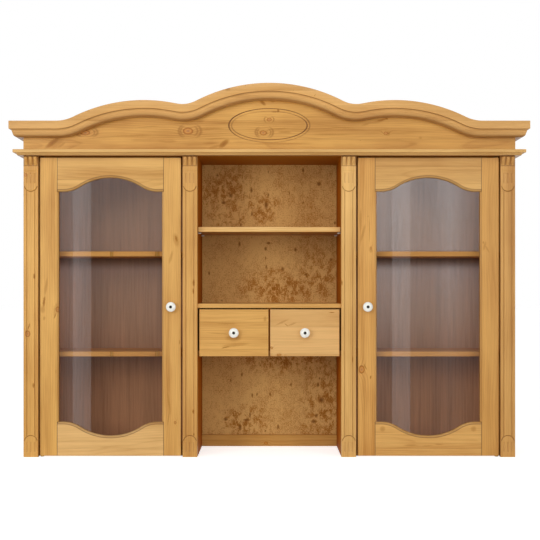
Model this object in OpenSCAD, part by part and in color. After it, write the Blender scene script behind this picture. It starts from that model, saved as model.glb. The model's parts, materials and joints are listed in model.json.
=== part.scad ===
// China cabinet in pine: the upper part of a hutch, with a glazed door bay on each side,
// an open centre bay with shelves and two drawers, four fluted pilasters and a curved crown.
// Millimetres, +Z up. The front faces -Y, and the origin is the middle of the footprint.

/* [Case] */
// Width across the outer faces of the outer pilasters
case_w = 1734; // [1660:2:1840]
// Depth from the pilaster fronts to the back
case_d = 300; // [260:2:340]
// Height of the underside of the top board
case_h = 1062; // [1020:2:1120]
// Clear width of the open centre bay
centre_w = 508; // [470:2:540]
// Thickness of the upright boards, bottom boards and loose shelves
board_t = 18; // [16:1:20]
// Thickness of the top board
top_t = 20; // [18:1:24]
// Thickness of the plywood back panels
back_t = 5; // [4:0.5:6]
// Width of the rebate that a back panel lies in
back_rebate = 10; // [8:1:12]
// Height of the rail behind the open foot of the centre bay
back_rail_h = 42; // [30:1:70]

/* [Pilasters] */
// Width of a pilaster
pilaster_w = 52; // [50:1:60]
// Thickness of a pilaster
pilaster_t = 20; // [18:1:24]
// Radius of a reed in the capital
reed_r = 7; // [6:0.5:8]
// Distance from reed to reed
reed_pitch = 16.5; // [16:0.5:18]
// Height of the reeds, rounded ends included
reed_h = 36; // [30:1:44]
// How far the reeds stand out at their foot
reed_low = 4; // [3:0.5:6]
// How far the reeds stand out under the moulding
reed_high = 13; // [8:0.5:16]
// Height of the carved tongue under the reeds
tongue_h = 89; // [80:1:110]
// Height of the carved tongue at the foot
foot_h = 76; // [66:1:90]
// Radius of the round end of a tongue
tongue_r = 23; // [20:0.5:24]
// Length of the three short flutes in a tongue
flute_len = 38; // [28:1:44]
// Distance from flute to flute
flute_pitch = 13.3; // [12:0.1:14]
// Distance between the two long grooves of the shaft
groove_pitch = 28.4; // [24:0.2:32]
// Half the width of a cut line
line_half = 1.7; // [1:0.1:2.4]
// Depth of a cut line
line_d = 2.4; // [1.6:0.1:3]
// How much shallower the long grooves are than the other cut lines
groove_rise = 0.4; // [0.2:0.1:1]
// Radius of a short flute
flute_r = 3.4; // [2.6:0.1:4]
// Depth of a short flute
flute_d = 1.6; // [1:0.1:2]
// Distance from the foot of the reeds to the cut across the tongue
cross_drop = 17; // [12:0.5:20]

/* [Waist moulding] */
// How far the waist moulding stands out
waist_out = 31.5; // [26:0.5:36]
// Height of its upright upper edge
waist_edge_h = 11; // [8:0.5:13]
// Width of the hollow under that edge
waist_cove_w = 12; // [8:0.5:14]
// Width of the small step between hollow and edge
waist_step = 1.5; // [1:0.1:2]

/* [Frieze and crown] */
// Height from the top board to the top of the crown's straight ends
end_rise = 98; // [90:1:120]
// Rise of a side hump above the straight ends
hump_rise = 72; // [66:1:78]
// Rise of the crest above the straight ends
crest_rise = 132; // [126:1:138]
// Distance from the middle to the top of a side hump
hump_x = 438; // [430:2:446]
// Radius of the hollow where the straight end turns up
end_r = 137; // [120:1:150]
// Radius of a side hump
hump_r = 554; // [530:2:570]
// Radius of the dip between side hump and crest
dip_r = 105; // [95:1:115]
// Radius of the crest
crest_r = 558; // [540:2:570]
// How far the crown stands out
crown_out = 43; // [38:0.5:50]
// Height of the crown moulding
crown_h = 55; // [52:0.5:60]
// Height of its flat upper band
crown_band_h = 28; // [24:0.5:30]
// Height of the hollow under the band
crown_hollow_h = 11.3; // [9:0.1:13]
// How far that hollow draws in
crown_hollow_w = 8.5; // [6:0.1:10]
// Width of the small steps beside that hollow
crown_step = 1.6; // [1.2:0.1:2]
// Thickness of the frieze boards
frieze_t = 20; // [16:1:24]
// Half width of the routed oval
oval_a = 144; // [120:1:160]
// Half height of the routed oval
oval_b = 61; // [50:1:64]
// Width of the routed band
oval_band = 12; // [8:0.5:16]
// Depth of the routed band
oval_band_d = 1.2; // [0.6:0.1:2]
// Width of the line along each edge of the band
oval_line_w = 2.4; // [1.6:0.1:3]
// Distance from the top board to the middle of the oval
oval_rise = 87; // [80:1:92]
// Side of a glue block
block_side = 25; // [18:1:30]
// Length of a glue block
block_len = 60; // [40:1:80]
// Distance from glue block to glue block
block_pitch = 400; // [300:5:480]

/* [Doors] */
// Thickness of a door frame
door_t = 20; // [18:0.5:24]
// How far the doors and drawers lie behind the pilaster fronts
front_set = 12; // [10:0.5:14]
// Gap on the pivot side of a door
pivot_gap = 3; // [3:0.1:4]
// Gap on the closing side of a door
lock_gap = 6; // [3:0.5:7]
// Gap under a door
door_low_gap = 3; // [2.9:0.1:5]
// Gap over a door
door_high_gap = 5; // [4:0.5:6]
// Width of a stile without its moulded edge
stile_w = 61; // [56:1:70]
// Height of a rail at its ends
rail_end_h = 120; // [110:1:130]
// Height of a rail in the middle of its curve
rail_mid_h = 71; // [64:1:80]
// Radius at the low ends of a rail's curve
rail_end_r = 110; // [80:1:130]
// Length of the straight run at each end of a rail's curve
rail_flat = 15; // [8:1:24]
// Width of the moulded edge round the glass
mould_w = 7; // [5:0.5:8]
// Depth of the small step beside the moulded edge
mould_step = 0.8; // [0.4:0.1:1]
// Thickness of the frame in front of the glass
lip_t = 10; // [9.5:0.5:11]
// Width of the rebate that the glass lies in
glass_rebate = 10; // [9:0.5:12]
// Thickness of the glass
glass_t = 4; // [3:0.5:5]
// Width of a glazing bead
bead_w = 8; // [6:0.5:9]
// Height of the knobs of the doors
knob_z = 529.5; // [480:0.5:600]
// Distance from a door's closing edge to its knob
knob_inset = 35; // [30:0.5:40]
// Gap between a door's swinging corner and the bottom board
swing_gap = 1.4; // [1:0.1:3]

/* [Pivots and catches] */
// Distance from a door's pivot edge to the pivot axis
pivot_inset = 8; // [7:0.5:9]
// Distance from a door's front face to the pivot axis
pivot_depth = 6; // [5.5:0.5:7]
// Radius of a pivot pin
pivot_r = 2.5; // [2:0.1:3]
// Radial running clearance of a pin in its bush
pivot_play = 0.05; // [0.02:0.01:0.1]
// Outer radius of a bush
bush_r = 4.5; // [4.2:0.1:4.8]
// Length of a bush inside the door
bush_len = 13; // [10:0.5:16]
// Thickness of a pivot plate
plate_t = 2; // [1.5:0.1:2]
// Length of a pivot plate behind the axis
plate_len = 50; // [46:1:56]
// Width of a magnet catch
catch_w = 42; // [34:1:46]
// Height of a magnet catch
catch_h = 14; // [12:0.5:16]
// Depth of a magnet catch
catch_d = 15; // [12:0.5:18]
// Thickness of a strike plate
strike_t = 1.2; // [1:0.1:1.6]
// Distance from a door's closing edge to its catch
catch_inset = 6; // [4:0.5:10]
// Distance from the pivot axis to the nearer screw of a plate
screw_first = 30; // [26:1:32]
// Distance from screw to screw
screw_pitch = 13; // [11:0.5:13]
// Length of a plate screw below its head
screw_len = 13; // [10:0.5:14]
// Gap between parts that move past each other
run_gap = 0.3; // [0.2:0.05:0.5]

/* [Shelves] */
// Height of the underside of the upper glazed-bay shelf
upper_shelf_z = 709; // [660:1:760]
// Height of the underside of the lower glazed-bay shelf
lower_shelf_z = 351; // [300:1:400]
// Distance of the glazed-bay shelves behind the pilaster fronts
bay_shelf_set = 60; // [50:1:80]
// Height of the underside of the loose centre shelf
centre_shelf_z = 795; // [740:1:860]
// Distance of the loose centre shelf behind the pilaster fronts
centre_shelf_set = 30; // [22:1:50]
// Gap at each end of a loose shelf
shelf_gap = 1.5; // [1:0.1:2]
// Radius of a shelf pin
pin_r = 2.5; // [2:0.1:3]
// Length of a shelf pin inside the board
pin_in = 8; // [7:0.5:8]
// Length of a shelf pin outside the board
pin_out = 10; // [8:0.5:14]
// Distance of a shelf pin from the front or back edge of its shelf
pin_edge = 34; // [26:1:44]

/* [Drawers] */
// Height of the top of the fixed shelf over the drawers
fixed_shelf_top = 541; // [500:1:600]
// Thickness of the fixed shelf and of the drawer floor
fixed_t = 16; // [14:1:18]
// Height of a drawer front
drawer_front_h = 165.5; // [140:0.5:190]
// Thickness of a drawer front
drawer_front_t = 18; // [16:1:20]
// Gap beside and between the drawer fronts
drawer_gap = 6; // [5:0.5:7]
// Gap over the drawer fronts
drawer_top_gap = 4.5; // [3:0.5:6]
// How far the drawer fronts reach below the top of their floor
drawer_lap = 18; // [17:0.5:20]
// Thickness of the divider between the drawers
divider_t = 12; // [10:1:12]
// Running gap between a drawer box and the divider
drawer_side_gap = 3; // [2:0.5:3]
// Thickness of a drawer side and back
box_t = 12; // [10:1:14]
// Height of a drawer box
box_h = 112; // [90:1:114]
// Gap between a drawer box and the back panel
drawer_back_gap = 27; // [21:1:65]
// Thickness of a drawer bottom
drawer_bottom_t = 4; // [3:0.5:5]
// Depth of the groove for a drawer bottom
drawer_groove = 5; // [4:0.5:6]
// Height of a drawer bottom above the underside of the box
drawer_bottom_z = 8; // [6:0.5:12]
// How far a drawer front reaches past the outer side of its box
front_reach = 0.5; // [0.3:0.1:2]

/* [Knobs] */
// Radius of a porcelain knob
knob_r = 17.5; // [15:0.5:19]
// How far a knob stands out
knob_len = 26; // [22:0.5:30]
// Radius of its foot
knob_foot_r = 10; // [9:0.5:12]
// Radius of its neck
knob_neck_r = 7; // [6:0.5:8]
// Distance of the narrowest place from the wood
knob_neck_z = 5.5; // [4.5:0.1:6.5]
// Height of the dome beyond the widest place
knob_dome_h = 9.3; // [8:0.1:11]
// Depth of the recess round the screw head
knob_recess = 1.6; // [1.2:0.1:2]
// Radius of the screw head in the knob
screw_head_r = 4.2; // [3.6:0.1:4.8]
// Radius of a knob screw's shank
screw_r = 2; // [1.6:0.1:2.2]
// Radius of the washer behind the wood
washer_r = 5; // [4.5:0.1:6]
// Thickness of the washer
washer_t = 1; // [0.8:0.1:1.4]
// Radius of the nut across its corners
nut_r = 4; // [3.6:0.1:4.4]
// Thickness of the nut
nut_t = 3.2; // [2.4:0.1:4]
// Clearance round small fixed parts
fit = 0.1; // [0.05:0.01:0.2]

/* [Hidden] */
$fn = 64;

pine = "#d8a565";
pine_dark = "#b98349";
plywood = "#8f6236";
backing = "#8a7468";
metal = "#8c8a86";
brass = "#b59a58";
porcelain = "#efe9df";
pane = "#a9c4c0";
catch_white = "#e8e4da";

// Cuts start and end this far outside what they cut
over = 1;
// Width of a softened edge
ease = 1.5;
// Clearance of small metal parts that are pressed or screwed in
snug = 0.05;
// A cut that must clear the whole cabinet
far = 3000;

half_w = case_w / 2;
half_centre = centre_w / 2;
front_y = (crown_out - case_d) / 2;
back_y = front_y + case_d;
board_y = front_y + pilaster_t;
inner_back_y = back_y - back_t;
top_z = case_h + top_t;

// Inner face of a side board and outer face of a partition, as distances from the middle
side_in = half_w - board_t;
partition_out = half_centre + board_t;
pilaster_outer_x = half_w - pilaster_w / 2;
pilaster_inner_x = half_centre + pilaster_w / 2;

// Left door, from its pivot edge to its closing edge
door_x0 = -half_w + pilaster_w + pivot_gap;
door_x1 = -half_centre - pilaster_w - lock_gap;
door_y0 = front_y + front_set;
door_y1 = door_y0 + door_t;
door_z0 = door_low_gap;
door_z1 = case_h - door_high_gap;
door_mid_x = (door_x0 + door_x1) / 2;
rail_w = door_x1 - door_x0 - 2 * stile_w;
pivot_x = door_x0 + pivot_inset;
pivot_y = door_y0 + pivot_depth;
// The door's rear corner swings this far behind its front face
sweep = pivot_depth + norm([pivot_inset, door_t - pivot_depth]);
bottom_board_y = door_y0 + sweep + swing_gap;

// Glass opening and the rebate round it
open_half_w = rail_w / 2 - mould_w;
glass_half_w = open_half_w + glass_rebate;
glass_z0 = door_z0 + rail_mid_h - glass_rebate;
glass_z1 = door_z1 - rail_mid_h + glass_rebate;
glass_fit = 1;

// Shelf places
bay_shelf_y = front_y + bay_shelf_set;
centre_shelf_y = front_y + centre_shelf_set;
fixed_shelf_z = fixed_shelf_top - fixed_t;

// Drawer places
drawer_z1 = fixed_shelf_z - drawer_top_gap;
drawer_z0 = drawer_z1 - drawer_front_h;
floor_top = drawer_z0 + drawer_lap;
floor_z = floor_top - fixed_t;
drawer_y1 = door_y0 + drawer_front_t;
drawer_x0 = -half_centre + drawer_gap;
drawer_x1 = -drawer_gap / 2;
drawer_mid_x = (drawer_x0 + drawer_x1) / 2;
drawer_mid_z = (drawer_z0 + drawer_z1) / 2;
box_x0 = drawer_x0 + front_reach;
box_x1 = -divider_t / 2 - drawer_side_gap;
box_z0 = floor_top + run_gap;
box_z1 = box_z0 + box_h;
box_d = inner_back_y - drawer_back_gap - drawer_y1;
bottom_z0 = box_z0 + drawer_bottom_z;
groove_play = 0.2;

// Catch and strike plate, from the side nearer the pivot to the side nearer the closing edge
catch_x1 = door_x1 - catch_inset;
catch_x0 = catch_x1 - catch_w;

// Bushes, pins and screws of the pivots
bush_flange_r = bush_r + 1;
bush_flange_t = 0.8;
pin_reach = bush_len - 1;
thread_r = 1.5;
screw_cone_r = 2.9;
screw_cone_h = screw_cone_r - thread_r;
screw_hole_r = thread_r + snug;
screw_hole_h = plate_t + screw_len;

// Curve of a rail below its top edge: the arch in the middle and a low round at each end
rail_rise = rail_end_h - rail_mid_h;
rail_end_x = open_half_w - rail_flat;
arch_r = (pow(rail_end_x, 2) + pow(rail_rise, 2)) / (2 * rail_rise) - rail_end_r;
arch_c = [0, -rail_mid_h - arch_r];
rail_end_c = [rail_end_x, -rail_end_h + rail_end_r];
arch_angle = direction(arch_c, rail_end_c);
arch_swing = 90 - arch_angle;

// Edges and joints of the back panels
panel_edge = side_in + back_rebate;
panel_joint = half_centre + board_t / 2;

// Circles of the crown's top line: centre, then the line runs tangent from one to the next
crown_end_z = top_z + end_rise;
crest_c = [0, crown_end_z + crest_rise - crest_r];
hump_c = [hump_x, crown_end_z + hump_rise - hump_r];
dip_c = touching_centre(crest_c, crest_r, hump_c, hump_r, dip_r);
end_c = [hump_c[0] + sqrt(pow(end_r + hump_r, 2) - pow(crown_end_z + end_r - hump_c[1], 2)),
         crown_end_z + end_r];

// Each arc of the right half, from the crest outwards: centre, radius, 1 for a hump and -1
// for a hollow, first and last angle
crown_arcs = [
    [crest_c, crest_r, 1, direction(crest_c, dip_c), 180 - direction(crest_c, dip_c)],
    [dip_c, dip_r, -1, direction(dip_c, crest_c), direction(dip_c, hump_c)],
    [hump_c, hump_r, 1, direction(hump_c, end_c), direction(hump_c, dip_c)],
    [end_c, end_r, -1, direction(end_c, hump_c), -90]];

// Degrees from point to point along a curved outline
arc_step = 3;

function direction(a, b) = atan2(b[1] - a[1], b[0] - a[0]);

// Centre of a circle of radius r that touches, from above, a circle about a and one about b
function touching_centre(a, ra, b, rb, r) =
    let (d = norm(b - a),
         e = (b - a) / d,
         s = (pow(ra + r, 2) - pow(rb + r, 2) + d * d) / (2 * d),
         h = sqrt(pow(ra + r, 2) - s * s))
    a + s * e + h * [-e[1], e[0]];

// Points on a circle from angle a0 to angle a1
function arc_points(c, r, a0, a1, n) =
    [for (i = [0:n]) c + r * [cos(a0 + (a1 - a0) * i / n), sin(a0 + (a1 - a0) * i / n)]];

function arc_count(a0, a1) = max(2, ceil(abs(a1 - a0) / arc_step));

function ellipse_points(a, b) = [for (i = [0:3:357]) [a * cos(i), b * sin(i)]];

function mirrored(points) = [for (i = [len(points) - 1:-1:0]) [-points[i][0], points[i][1]]];

// Top line of the crown from the middle to the end of the right half
function crown_line() = concat(
    arc_points(crest_c, crest_r, 90, crown_arcs[0][3], arc_count(90, crown_arcs[0][3])),
    [for (k = [1:3])
        let (a = crown_arcs[k],
             first = a[2] > 0 ? a[4] : a[3],
             last = a[2] > 0 ? a[3] : a[4],
             points = arc_points(a[0], a[1], first, last, arc_count(first, last)))
        for (i = [1:len(points) - 1]) points[i]],
    [[half_w, crown_end_z]]);

// Crown section as distance out and depth below the top line: flat band, small step,
// hollow, small step, round
function crown_section() = let (
    hollow_out = crown_out - crown_step - crown_hollow_w,
    round_out = hollow_out - crown_step,
    round_r = crown_h - crown_band_h - crown_hollow_h - crown_step)
    concat(
        [[0, 0], [crown_out, 0], [crown_out, crown_band_h],
         [crown_out - crown_step, crown_band_h]],
        [for (t = [15:15:90]) [hollow_out + crown_hollow_w * (1 - sin(t)),
                               crown_band_h + crown_hollow_h * (1 - cos(t))]],
        [[round_out, crown_h - round_r]],
        [for (t = [15:15:90]) [round_out - round_r * (1 - cos(t)),
                               crown_h - round_r + round_r * sin(t)]],
        [[0, crown_h]]);

// Waist section as distance out and height: cove below, upright edge above
function waist_section() = let (
    cove_h = top_t - waist_edge_h,
    foot_out = waist_out - waist_step - waist_cove_w)
    concat(
        [[0, 0], [foot_out, 0]],
        [for (t = [0:15:90]) [foot_out + waist_cove_w * (1 - cos(t)), cove_h * sin(t)]],
        [[waist_out, cove_h], [waist_out, top_t - ease], [waist_out - ease, top_t], [0, top_t]]);

// Section cut from a moulded edge, as distance into the wood and depth from the face: a step, a
// quarter round, and the upright edge down to the rebate
function mould_cut() = concat(
    [[-2 * over, -over], [mould_w, -over], [mould_w, mould_step]],
    [for (t = [15:15:75]) [mould_w - mould_w * sin(t), mould_step + mould_w * (1 - cos(t))]],
    [[0, mould_step + mould_w], [0, lip_t + over], [-2 * over, lip_t + over]]);

// A box between two corners
module block(lo, hi) translate(lo) cube(hi - lo);

// The same shape on both sides of the middle
module both_sides() {
    children();
    mirror([1, 0, 0]) children();
}

// A bar along X whose front edges are eased: section in Y and Z
module eased_bar(x0, x1, y0, y1, z0, z1) {
    translate([x0, 0, 0]) rotate([90, 0, 90]) linear_extrude(x1 - x0)
        polygon([[y0, z0 + ease], [y0 + ease, z0], [y1, z0], [y1, z1], [y0 + ease, z1],
                 [y0, z1 - ease]]);
}

// Case

module shelf_pin_places(y0, y1) {
    for (y = [y0 + pin_edge, y1 - pin_edge]) translate([0, y, 0]) children();
}

// A level hole or pin along X, with its axis one pin radius below the shelf
module cross_pin(x0, x1, z, r) {
    translate([x0, 0, z - pin_r]) rotate([0, 90, 0]) cylinder(h = x1 - x0, r = r);
}

module bay_pin_places() {
    for (z = [lower_shelf_z, upper_shelf_z])
        shelf_pin_places(bay_shelf_y, inner_back_y) translate([0, 0, z]) children();
}

module side_panel() {
    color(pine) difference() {
        block([-half_w, board_y, 0], [-side_in, back_y, case_h]);
        block([-side_in - back_rebate, inner_back_y, -over], [-side_in + over, back_y + over, far]);
        bay_pin_places() cross_pin(-side_in - pin_in, -side_in + over, 0, pin_r + snug);
    }
}

module partition() {
    color(pine) difference() {
        block([-partition_out, board_y, 0], [-half_centre, inner_back_y, case_h]);
        bay_pin_places()
            cross_pin(-partition_out - over, -partition_out + pin_in, 0, pin_r + snug);
        shelf_pin_places(centre_shelf_y, inner_back_y)
            cross_pin(-half_centre - pin_in, -half_centre + over, centre_shelf_z, pin_r + snug);
    }
}

module side_panel_left() side_panel();
module side_panel_right() mirror([1, 0, 0]) side_panel();
module partition_left() partition();
module partition_right() mirror([1, 0, 0]) partition();

module top_board() {
    color(pine) difference() {
        block([-half_w, front_y, case_h], [half_w, back_y, top_z]);
        block([-side_in - back_rebate, inner_back_y, case_h - over],
              [side_in + back_rebate, back_y + over, case_h + back_rebate]);
        both_sides() screw_places() translate([0, 0, case_h - plate_t])
            cylinder(h = screw_hole_h, r = screw_hole_r);
    }
}

module bottom_boards() {
    color(pine) both_sides() difference() {
        block([-side_in, bottom_board_y, 0], [-partition_out, inner_back_y, board_t]);
        block([pivot_x - bush_flange_r - fit, bottom_board_y - over, -over],
              [pivot_x + bush_flange_r + fit, pivot_y + plate_len + fit, plate_t]);
        screw_places() cylinder(h = screw_hole_h, r = screw_hole_r);
    }
}

module back_panel(x0, x1) {
    seat = case_h + back_rebate - fit;
    block([x0 + fit, inner_back_y, 0], [x1 - fit, back_y, seat]);
}

module back_panel_left() color(backing) back_panel(-panel_edge, -panel_joint);
module back_panel_centre() color(plywood) back_panel(-panel_joint, panel_joint);
module back_panel_right() color(backing) back_panel(panel_joint, panel_edge);

module back_rail() {
    color(pine_dark)
        block([-half_centre, inner_back_y - board_t, 0], [half_centre, inner_back_y, back_rail_h]);
}

// Pilasters

// A V groove along a straight line from height z0 to height z1, at distance x
module upright_line(x, z0, z1) {
    translate([x, front_y, z0]) linear_extrude(z1 - z0)
        polygon([[-line_half, 0], [-line_half, -over], [line_half, -over], [line_half, 0],
                 [0, line_d - groove_rise]]);
}

// A V groove along an arc about a centre at height z
module arc_line(z, a0, a1) {
    translate([0, front_y, z]) rotate([90, 0, 0]) rotate([0, 0, a0])
        rotate_extrude(angle = a1 - a0)
            polygon([[tongue_r - line_half, 0], [tongue_r, -line_d], [tongue_r + line_half, 0],
                     [tongue_r + line_half, over], [tongue_r - line_half, over]]);
}

// A short shallow flute with round ends
module flute(x, top_z) {
    z0 = top_z - flute_len + flute_r;
    z1 = top_z - flute_r;
    translate([x, front_y - flute_r + flute_d, 0]) {
        translate([0, 0, z0]) cylinder(h = z1 - z0, r = flute_r);
        for (z = [z0, z1]) translate([0, 0, z]) sphere(r = flute_r);
    }
}

// One leaning reed of the capital, from its foot to the moulding
module reed(x) {
    rise = reed_h - 2 * reed_r;
    length = norm([reed_high - reed_low, rise]);
    translate([x, front_y - reed_low + reed_r, case_h - reed_h + reed_r])
        rotate([atan2(reed_high - reed_low, rise), 0, 0]) {
            sphere(r = reed_r);
            cylinder(h = length, r = reed_r);
            translate([0, 0, length]) sphere(r = reed_r);
        }
}

// The wedge that the reeds are carved on, so deep behind them that they stand out as rounds
module capital_core() {
    half = reed_pitch + reed_r / 2;
    back = reed_r * 0.7;
    foot_z = case_h - reed_h + reed_r / 2;
    translate([-half, 0, 0]) rotate([90, 0, 90]) linear_extrude(2 * half)
        polygon([[front_y + over, foot_z], [front_y + back - reed_low, foot_z],
                 [front_y + back - reed_high, case_h], [front_y + over, case_h]]);
}

// A V groove across the tongue at height z
module cross_line(z) {
    half = reed_pitch + reed_r;
    translate([-half, 0, z]) rotate([90, 0, 90]) linear_extrude(2 * half)
        polygon([[front_y - over, -line_half], [front_y, -line_half], [front_y + line_half / 2, 0],
                 [front_y, line_half], [front_y - over, line_half]]);
}

module pilaster(x) {
    tongue_z = case_h - reed_h - tongue_h + tongue_r;
    foot_z = foot_h - tongue_r;
    cross_z = case_h - reed_h - cross_drop;
    below_cross = 6;
    into_tongue = 5;
    color(pine) translate([x, 0, 0]) {
        difference() {
            linear_extrude(case_h)
                polygon([[-pilaster_w / 2, front_y + ease], [-pilaster_w / 2 + ease, front_y],
                         [pilaster_w / 2 - ease, front_y], [pilaster_w / 2, front_y + ease],
                         [pilaster_w / 2, board_y], [-pilaster_w / 2, board_y]]);
            for (s = [-1, 1])
                upright_line(s * groove_pitch / 2, foot_h - into_tongue,
                             tongue_z - tongue_r + into_tongue);
            arc_line(tongue_z, -168, -12);
            arc_line(foot_z, 12, 168);
            for (i = [-1:1]) {
                flute(i * flute_pitch, cross_z - below_cross);
                flute(i * flute_pitch, foot_z + line_half);
            }
            cross_line(cross_z);
        }
        capital_core();
        for (i = [-1:1]) reed(i * reed_pitch);
    }
}

module pilaster_outer_left() pilaster(-pilaster_outer_x);
module pilaster_inner_left() pilaster(-pilaster_inner_x);
module pilaster_inner_right() pilaster(pilaster_inner_x);
module pilaster_outer_right() pilaster(pilaster_outer_x);

// Mouldings

// Space of a front strip, mitred at both ends, and of a left return
module front_mitre() {
    reach = crown_out + waist_out;
    linear_extrude(far)
        polygon([[-half_w, front_y], [half_w, front_y], [half_w + reach, front_y - reach],
                 [-half_w - reach, front_y - reach]]);
}

module return_mitre() {
    reach = crown_out + waist_out;
    linear_extrude(far)
        polygon([[-half_w, front_y], [-half_w - reach, front_y - reach],
                 [-half_w - reach, back_y], [-half_w, back_y]]);
}

// A strip with the given section along the front: section x is distance out, y is height
module front_strip(section) {
    reach = half_w + crown_out + waist_out;
    intersection() {
        front_mitre();
        translate([-reach, 0, 0]) rotate([90, 0, 90]) linear_extrude(2 * reach)
            polygon([for (p = section) [front_y - p[0], p[1]]]);
    }
}

// The same strip along the left side
module left_return(section) {
    intersection() {
        return_mitre();
        translate([0, back_y, 0]) rotate([90, 0, 0]) linear_extrude(case_d + 2 * crown_out)
            polygon([for (p = section) [-half_w - p[0], p[1]]]);
    }
}

function raised(section, z) = [for (p = section) [p[0], z + p[1]]];
function hung(section, z) = [for (p = section) [p[0], z - p[1]]];

module waist_moulding_front() color(pine) front_strip(raised(waist_section(), case_h));
module waist_moulding_returns() {
    color(pine) both_sides() left_return(raised(waist_section(), case_h));
}

// Frieze

module oval_ring(a, b, width, depth) {
    translate([0, front_y + depth, top_z + oval_rise]) rotate([90, 0, 0])
        linear_extrude(depth + over) difference() {
            polygon(ellipse_points(a, b));
            polygon(ellipse_points(a - width, b - width));
        }
}

module frieze_front() {
    outline = crown_line();
    inner = oval_band - oval_line_w;
    color(pine) difference() {
        translate([0, front_y + frieze_t, 0]) rotate([90, 0, 0]) linear_extrude(frieze_t)
            polygon(concat(mirrored(outline), [for (i = [1:len(outline) - 1]) outline[i]],
                           [[half_w, top_z], [-half_w, top_z]]));
        oval_ring(oval_a, oval_b, oval_band, oval_band_d);
        oval_ring(oval_a, oval_b, oval_line_w, line_d);
        oval_ring(oval_a - inner, oval_b - inner, oval_line_w, line_d);
    }
}

module frieze_sides() {
    color(pine) both_sides()
        block([-half_w, front_y + frieze_t, top_z], [-half_w + frieze_t, back_y, crown_end_z]);
}

// One arc of the crown moulding: its section turned about the arc's centre
module crown_arc(arc) {
    translate([arc[0][0], front_y, arc[0][1]]) rotate([90, 0, 0]) rotate([0, 0, arc[3]])
        rotate_extrude(angle = arc[4] - arc[3], $fn = 180)
            polygon([for (p = crown_section()) [arc[1] - arc[2] * p[1], p[0]]]);
}

module crown_front() {
    reach = half_w + crown_out + waist_out;
    color(pine) intersection() {
        front_mitre();
        union() {
            crown_arc(crown_arcs[0]);
            both_sides() {
                for (k = [1:3]) crown_arc(crown_arcs[k]);
                translate([end_c[0], 0, 0]) rotate([90, 0, 90]) linear_extrude(reach - end_c[0])
                    polygon([for (p = hung(crown_section(), crown_end_z)) [front_y - p[0], p[1]]]);
            }
        }
    }
}

module crown_returns() {
    color(pine) both_sides() left_return(hung(crown_section(), crown_end_z));
}

module glue_blocks() {
    color(pine_dark) {
        for (i = [-1.5:1:1.5])
            translate([i * block_pitch - block_len / 2, front_y + frieze_t, top_z])
                cube([block_len, block_side, block_side]);
        both_sides() translate([-half_w + frieze_t, -block_len / 2, top_z])
            cube([block_side, block_len, block_side]);
    }
}

// Shelves

module glazed_bay_shelves() {
    color(pine) both_sides() for (z = [lower_shelf_z, upper_shelf_z])
        eased_bar(-side_in + shelf_gap, -partition_out - shelf_gap, bay_shelf_y, inner_back_y,
                  z, z + board_t);
}

module centre_shelf() {
    color(pine) eased_bar(-half_centre + shelf_gap, half_centre - shelf_gap, centre_shelf_y,
                          inner_back_y, centre_shelf_z, centre_shelf_z + board_t);
}

module fixed_shelf() {
    color(pine) eased_bar(-half_centre, half_centre, door_y0, inner_back_y, fixed_shelf_z,
                          fixed_shelf_top);
}

module drawer_floor() {
    color(pine_dark) block([-half_centre, drawer_y1 + run_gap, floor_z],
                           [half_centre, inner_back_y, floor_top]);
}

module drawer_divider() {
    color(pine_dark) block([-divider_t / 2, drawer_y1 + run_gap, floor_top],
                           [divider_t / 2, inner_back_y, fixed_shelf_z]);
}

module shelf_pins() {
    color(metal) both_sides() {
        bay_pin_places() {
            cross_pin(-side_in - pin_in, -side_in + pin_out, 0, pin_r);
            cross_pin(-partition_out - pin_out, -partition_out + pin_in, 0, pin_r);
        }
        shelf_pin_places(centre_shelf_y, inner_back_y)
            cross_pin(-half_centre - pin_in, -half_centre + pin_out, centre_shelf_z, pin_r);
    }
}

// Pivots

module screw_places() {
    for (d = [screw_first, screw_first + screw_pitch])
        translate([pivot_x, pivot_y + d, 0]) children();
}

// A countersunk screw standing on its head
module wood_screw() {
    cylinder(h = screw_cone_h, r1 = screw_cone_r, r2 = thread_r);
    cylinder(h = screw_len, r = thread_r);
}

// Plate with its underside at height 0, where its countersinks open
module pivot_plate() {
    difference() {
        union() {
            translate([pivot_x, pivot_y, 0]) cylinder(h = plate_t, r = bush_flange_r);
            block([pivot_x - bush_flange_r, pivot_y, 0],
                  [pivot_x + bush_flange_r, pivot_y + plate_len, plate_t]);
        }
        screw_places() {
            translate([0, 0, -over]) cylinder(h = plate_t + 2 * over, r = screw_hole_r);
            cylinder(h = screw_cone_h + snug, r1 = screw_cone_r + snug, r2 = thread_r);
        }
    }
}

module pivot_pin(z0, z1) {
    translate([pivot_x, pivot_y, z0]) cylinder(h = z1 - z0, r = pivot_r);
}

// The lower plate lies under the bottom board and the upper one under the top board
module pivot_brackets() {
    color(metal) both_sides() {
        pivot_plate();
        pivot_pin(0, door_z0 + pin_reach);
        translate([0, 0, case_h - plate_t]) pivot_plate();
        pivot_pin(door_z1 - pin_reach, case_h);
    }
}

module pivot_screws() {
    color(metal) both_sides() screw_places() {
        wood_screw();
        translate([0, 0, case_h - plate_t]) wood_screw();
    }
}

module magnet_catches() {
    y0 = door_y1 + strike_t + run_gap;
    color(catch_white) both_sides()
        block([catch_x0, y0, case_h - catch_h], [catch_x1, y0 + catch_d, case_h]);
}

// Doors, drawn for the left bay

module door_bush_bores() {
    for (z = [door_z0 - over, door_z1 - bush_len])
        translate([pivot_x, pivot_y, z]) cylinder(h = bush_len + over, r = bush_r);
}

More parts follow.
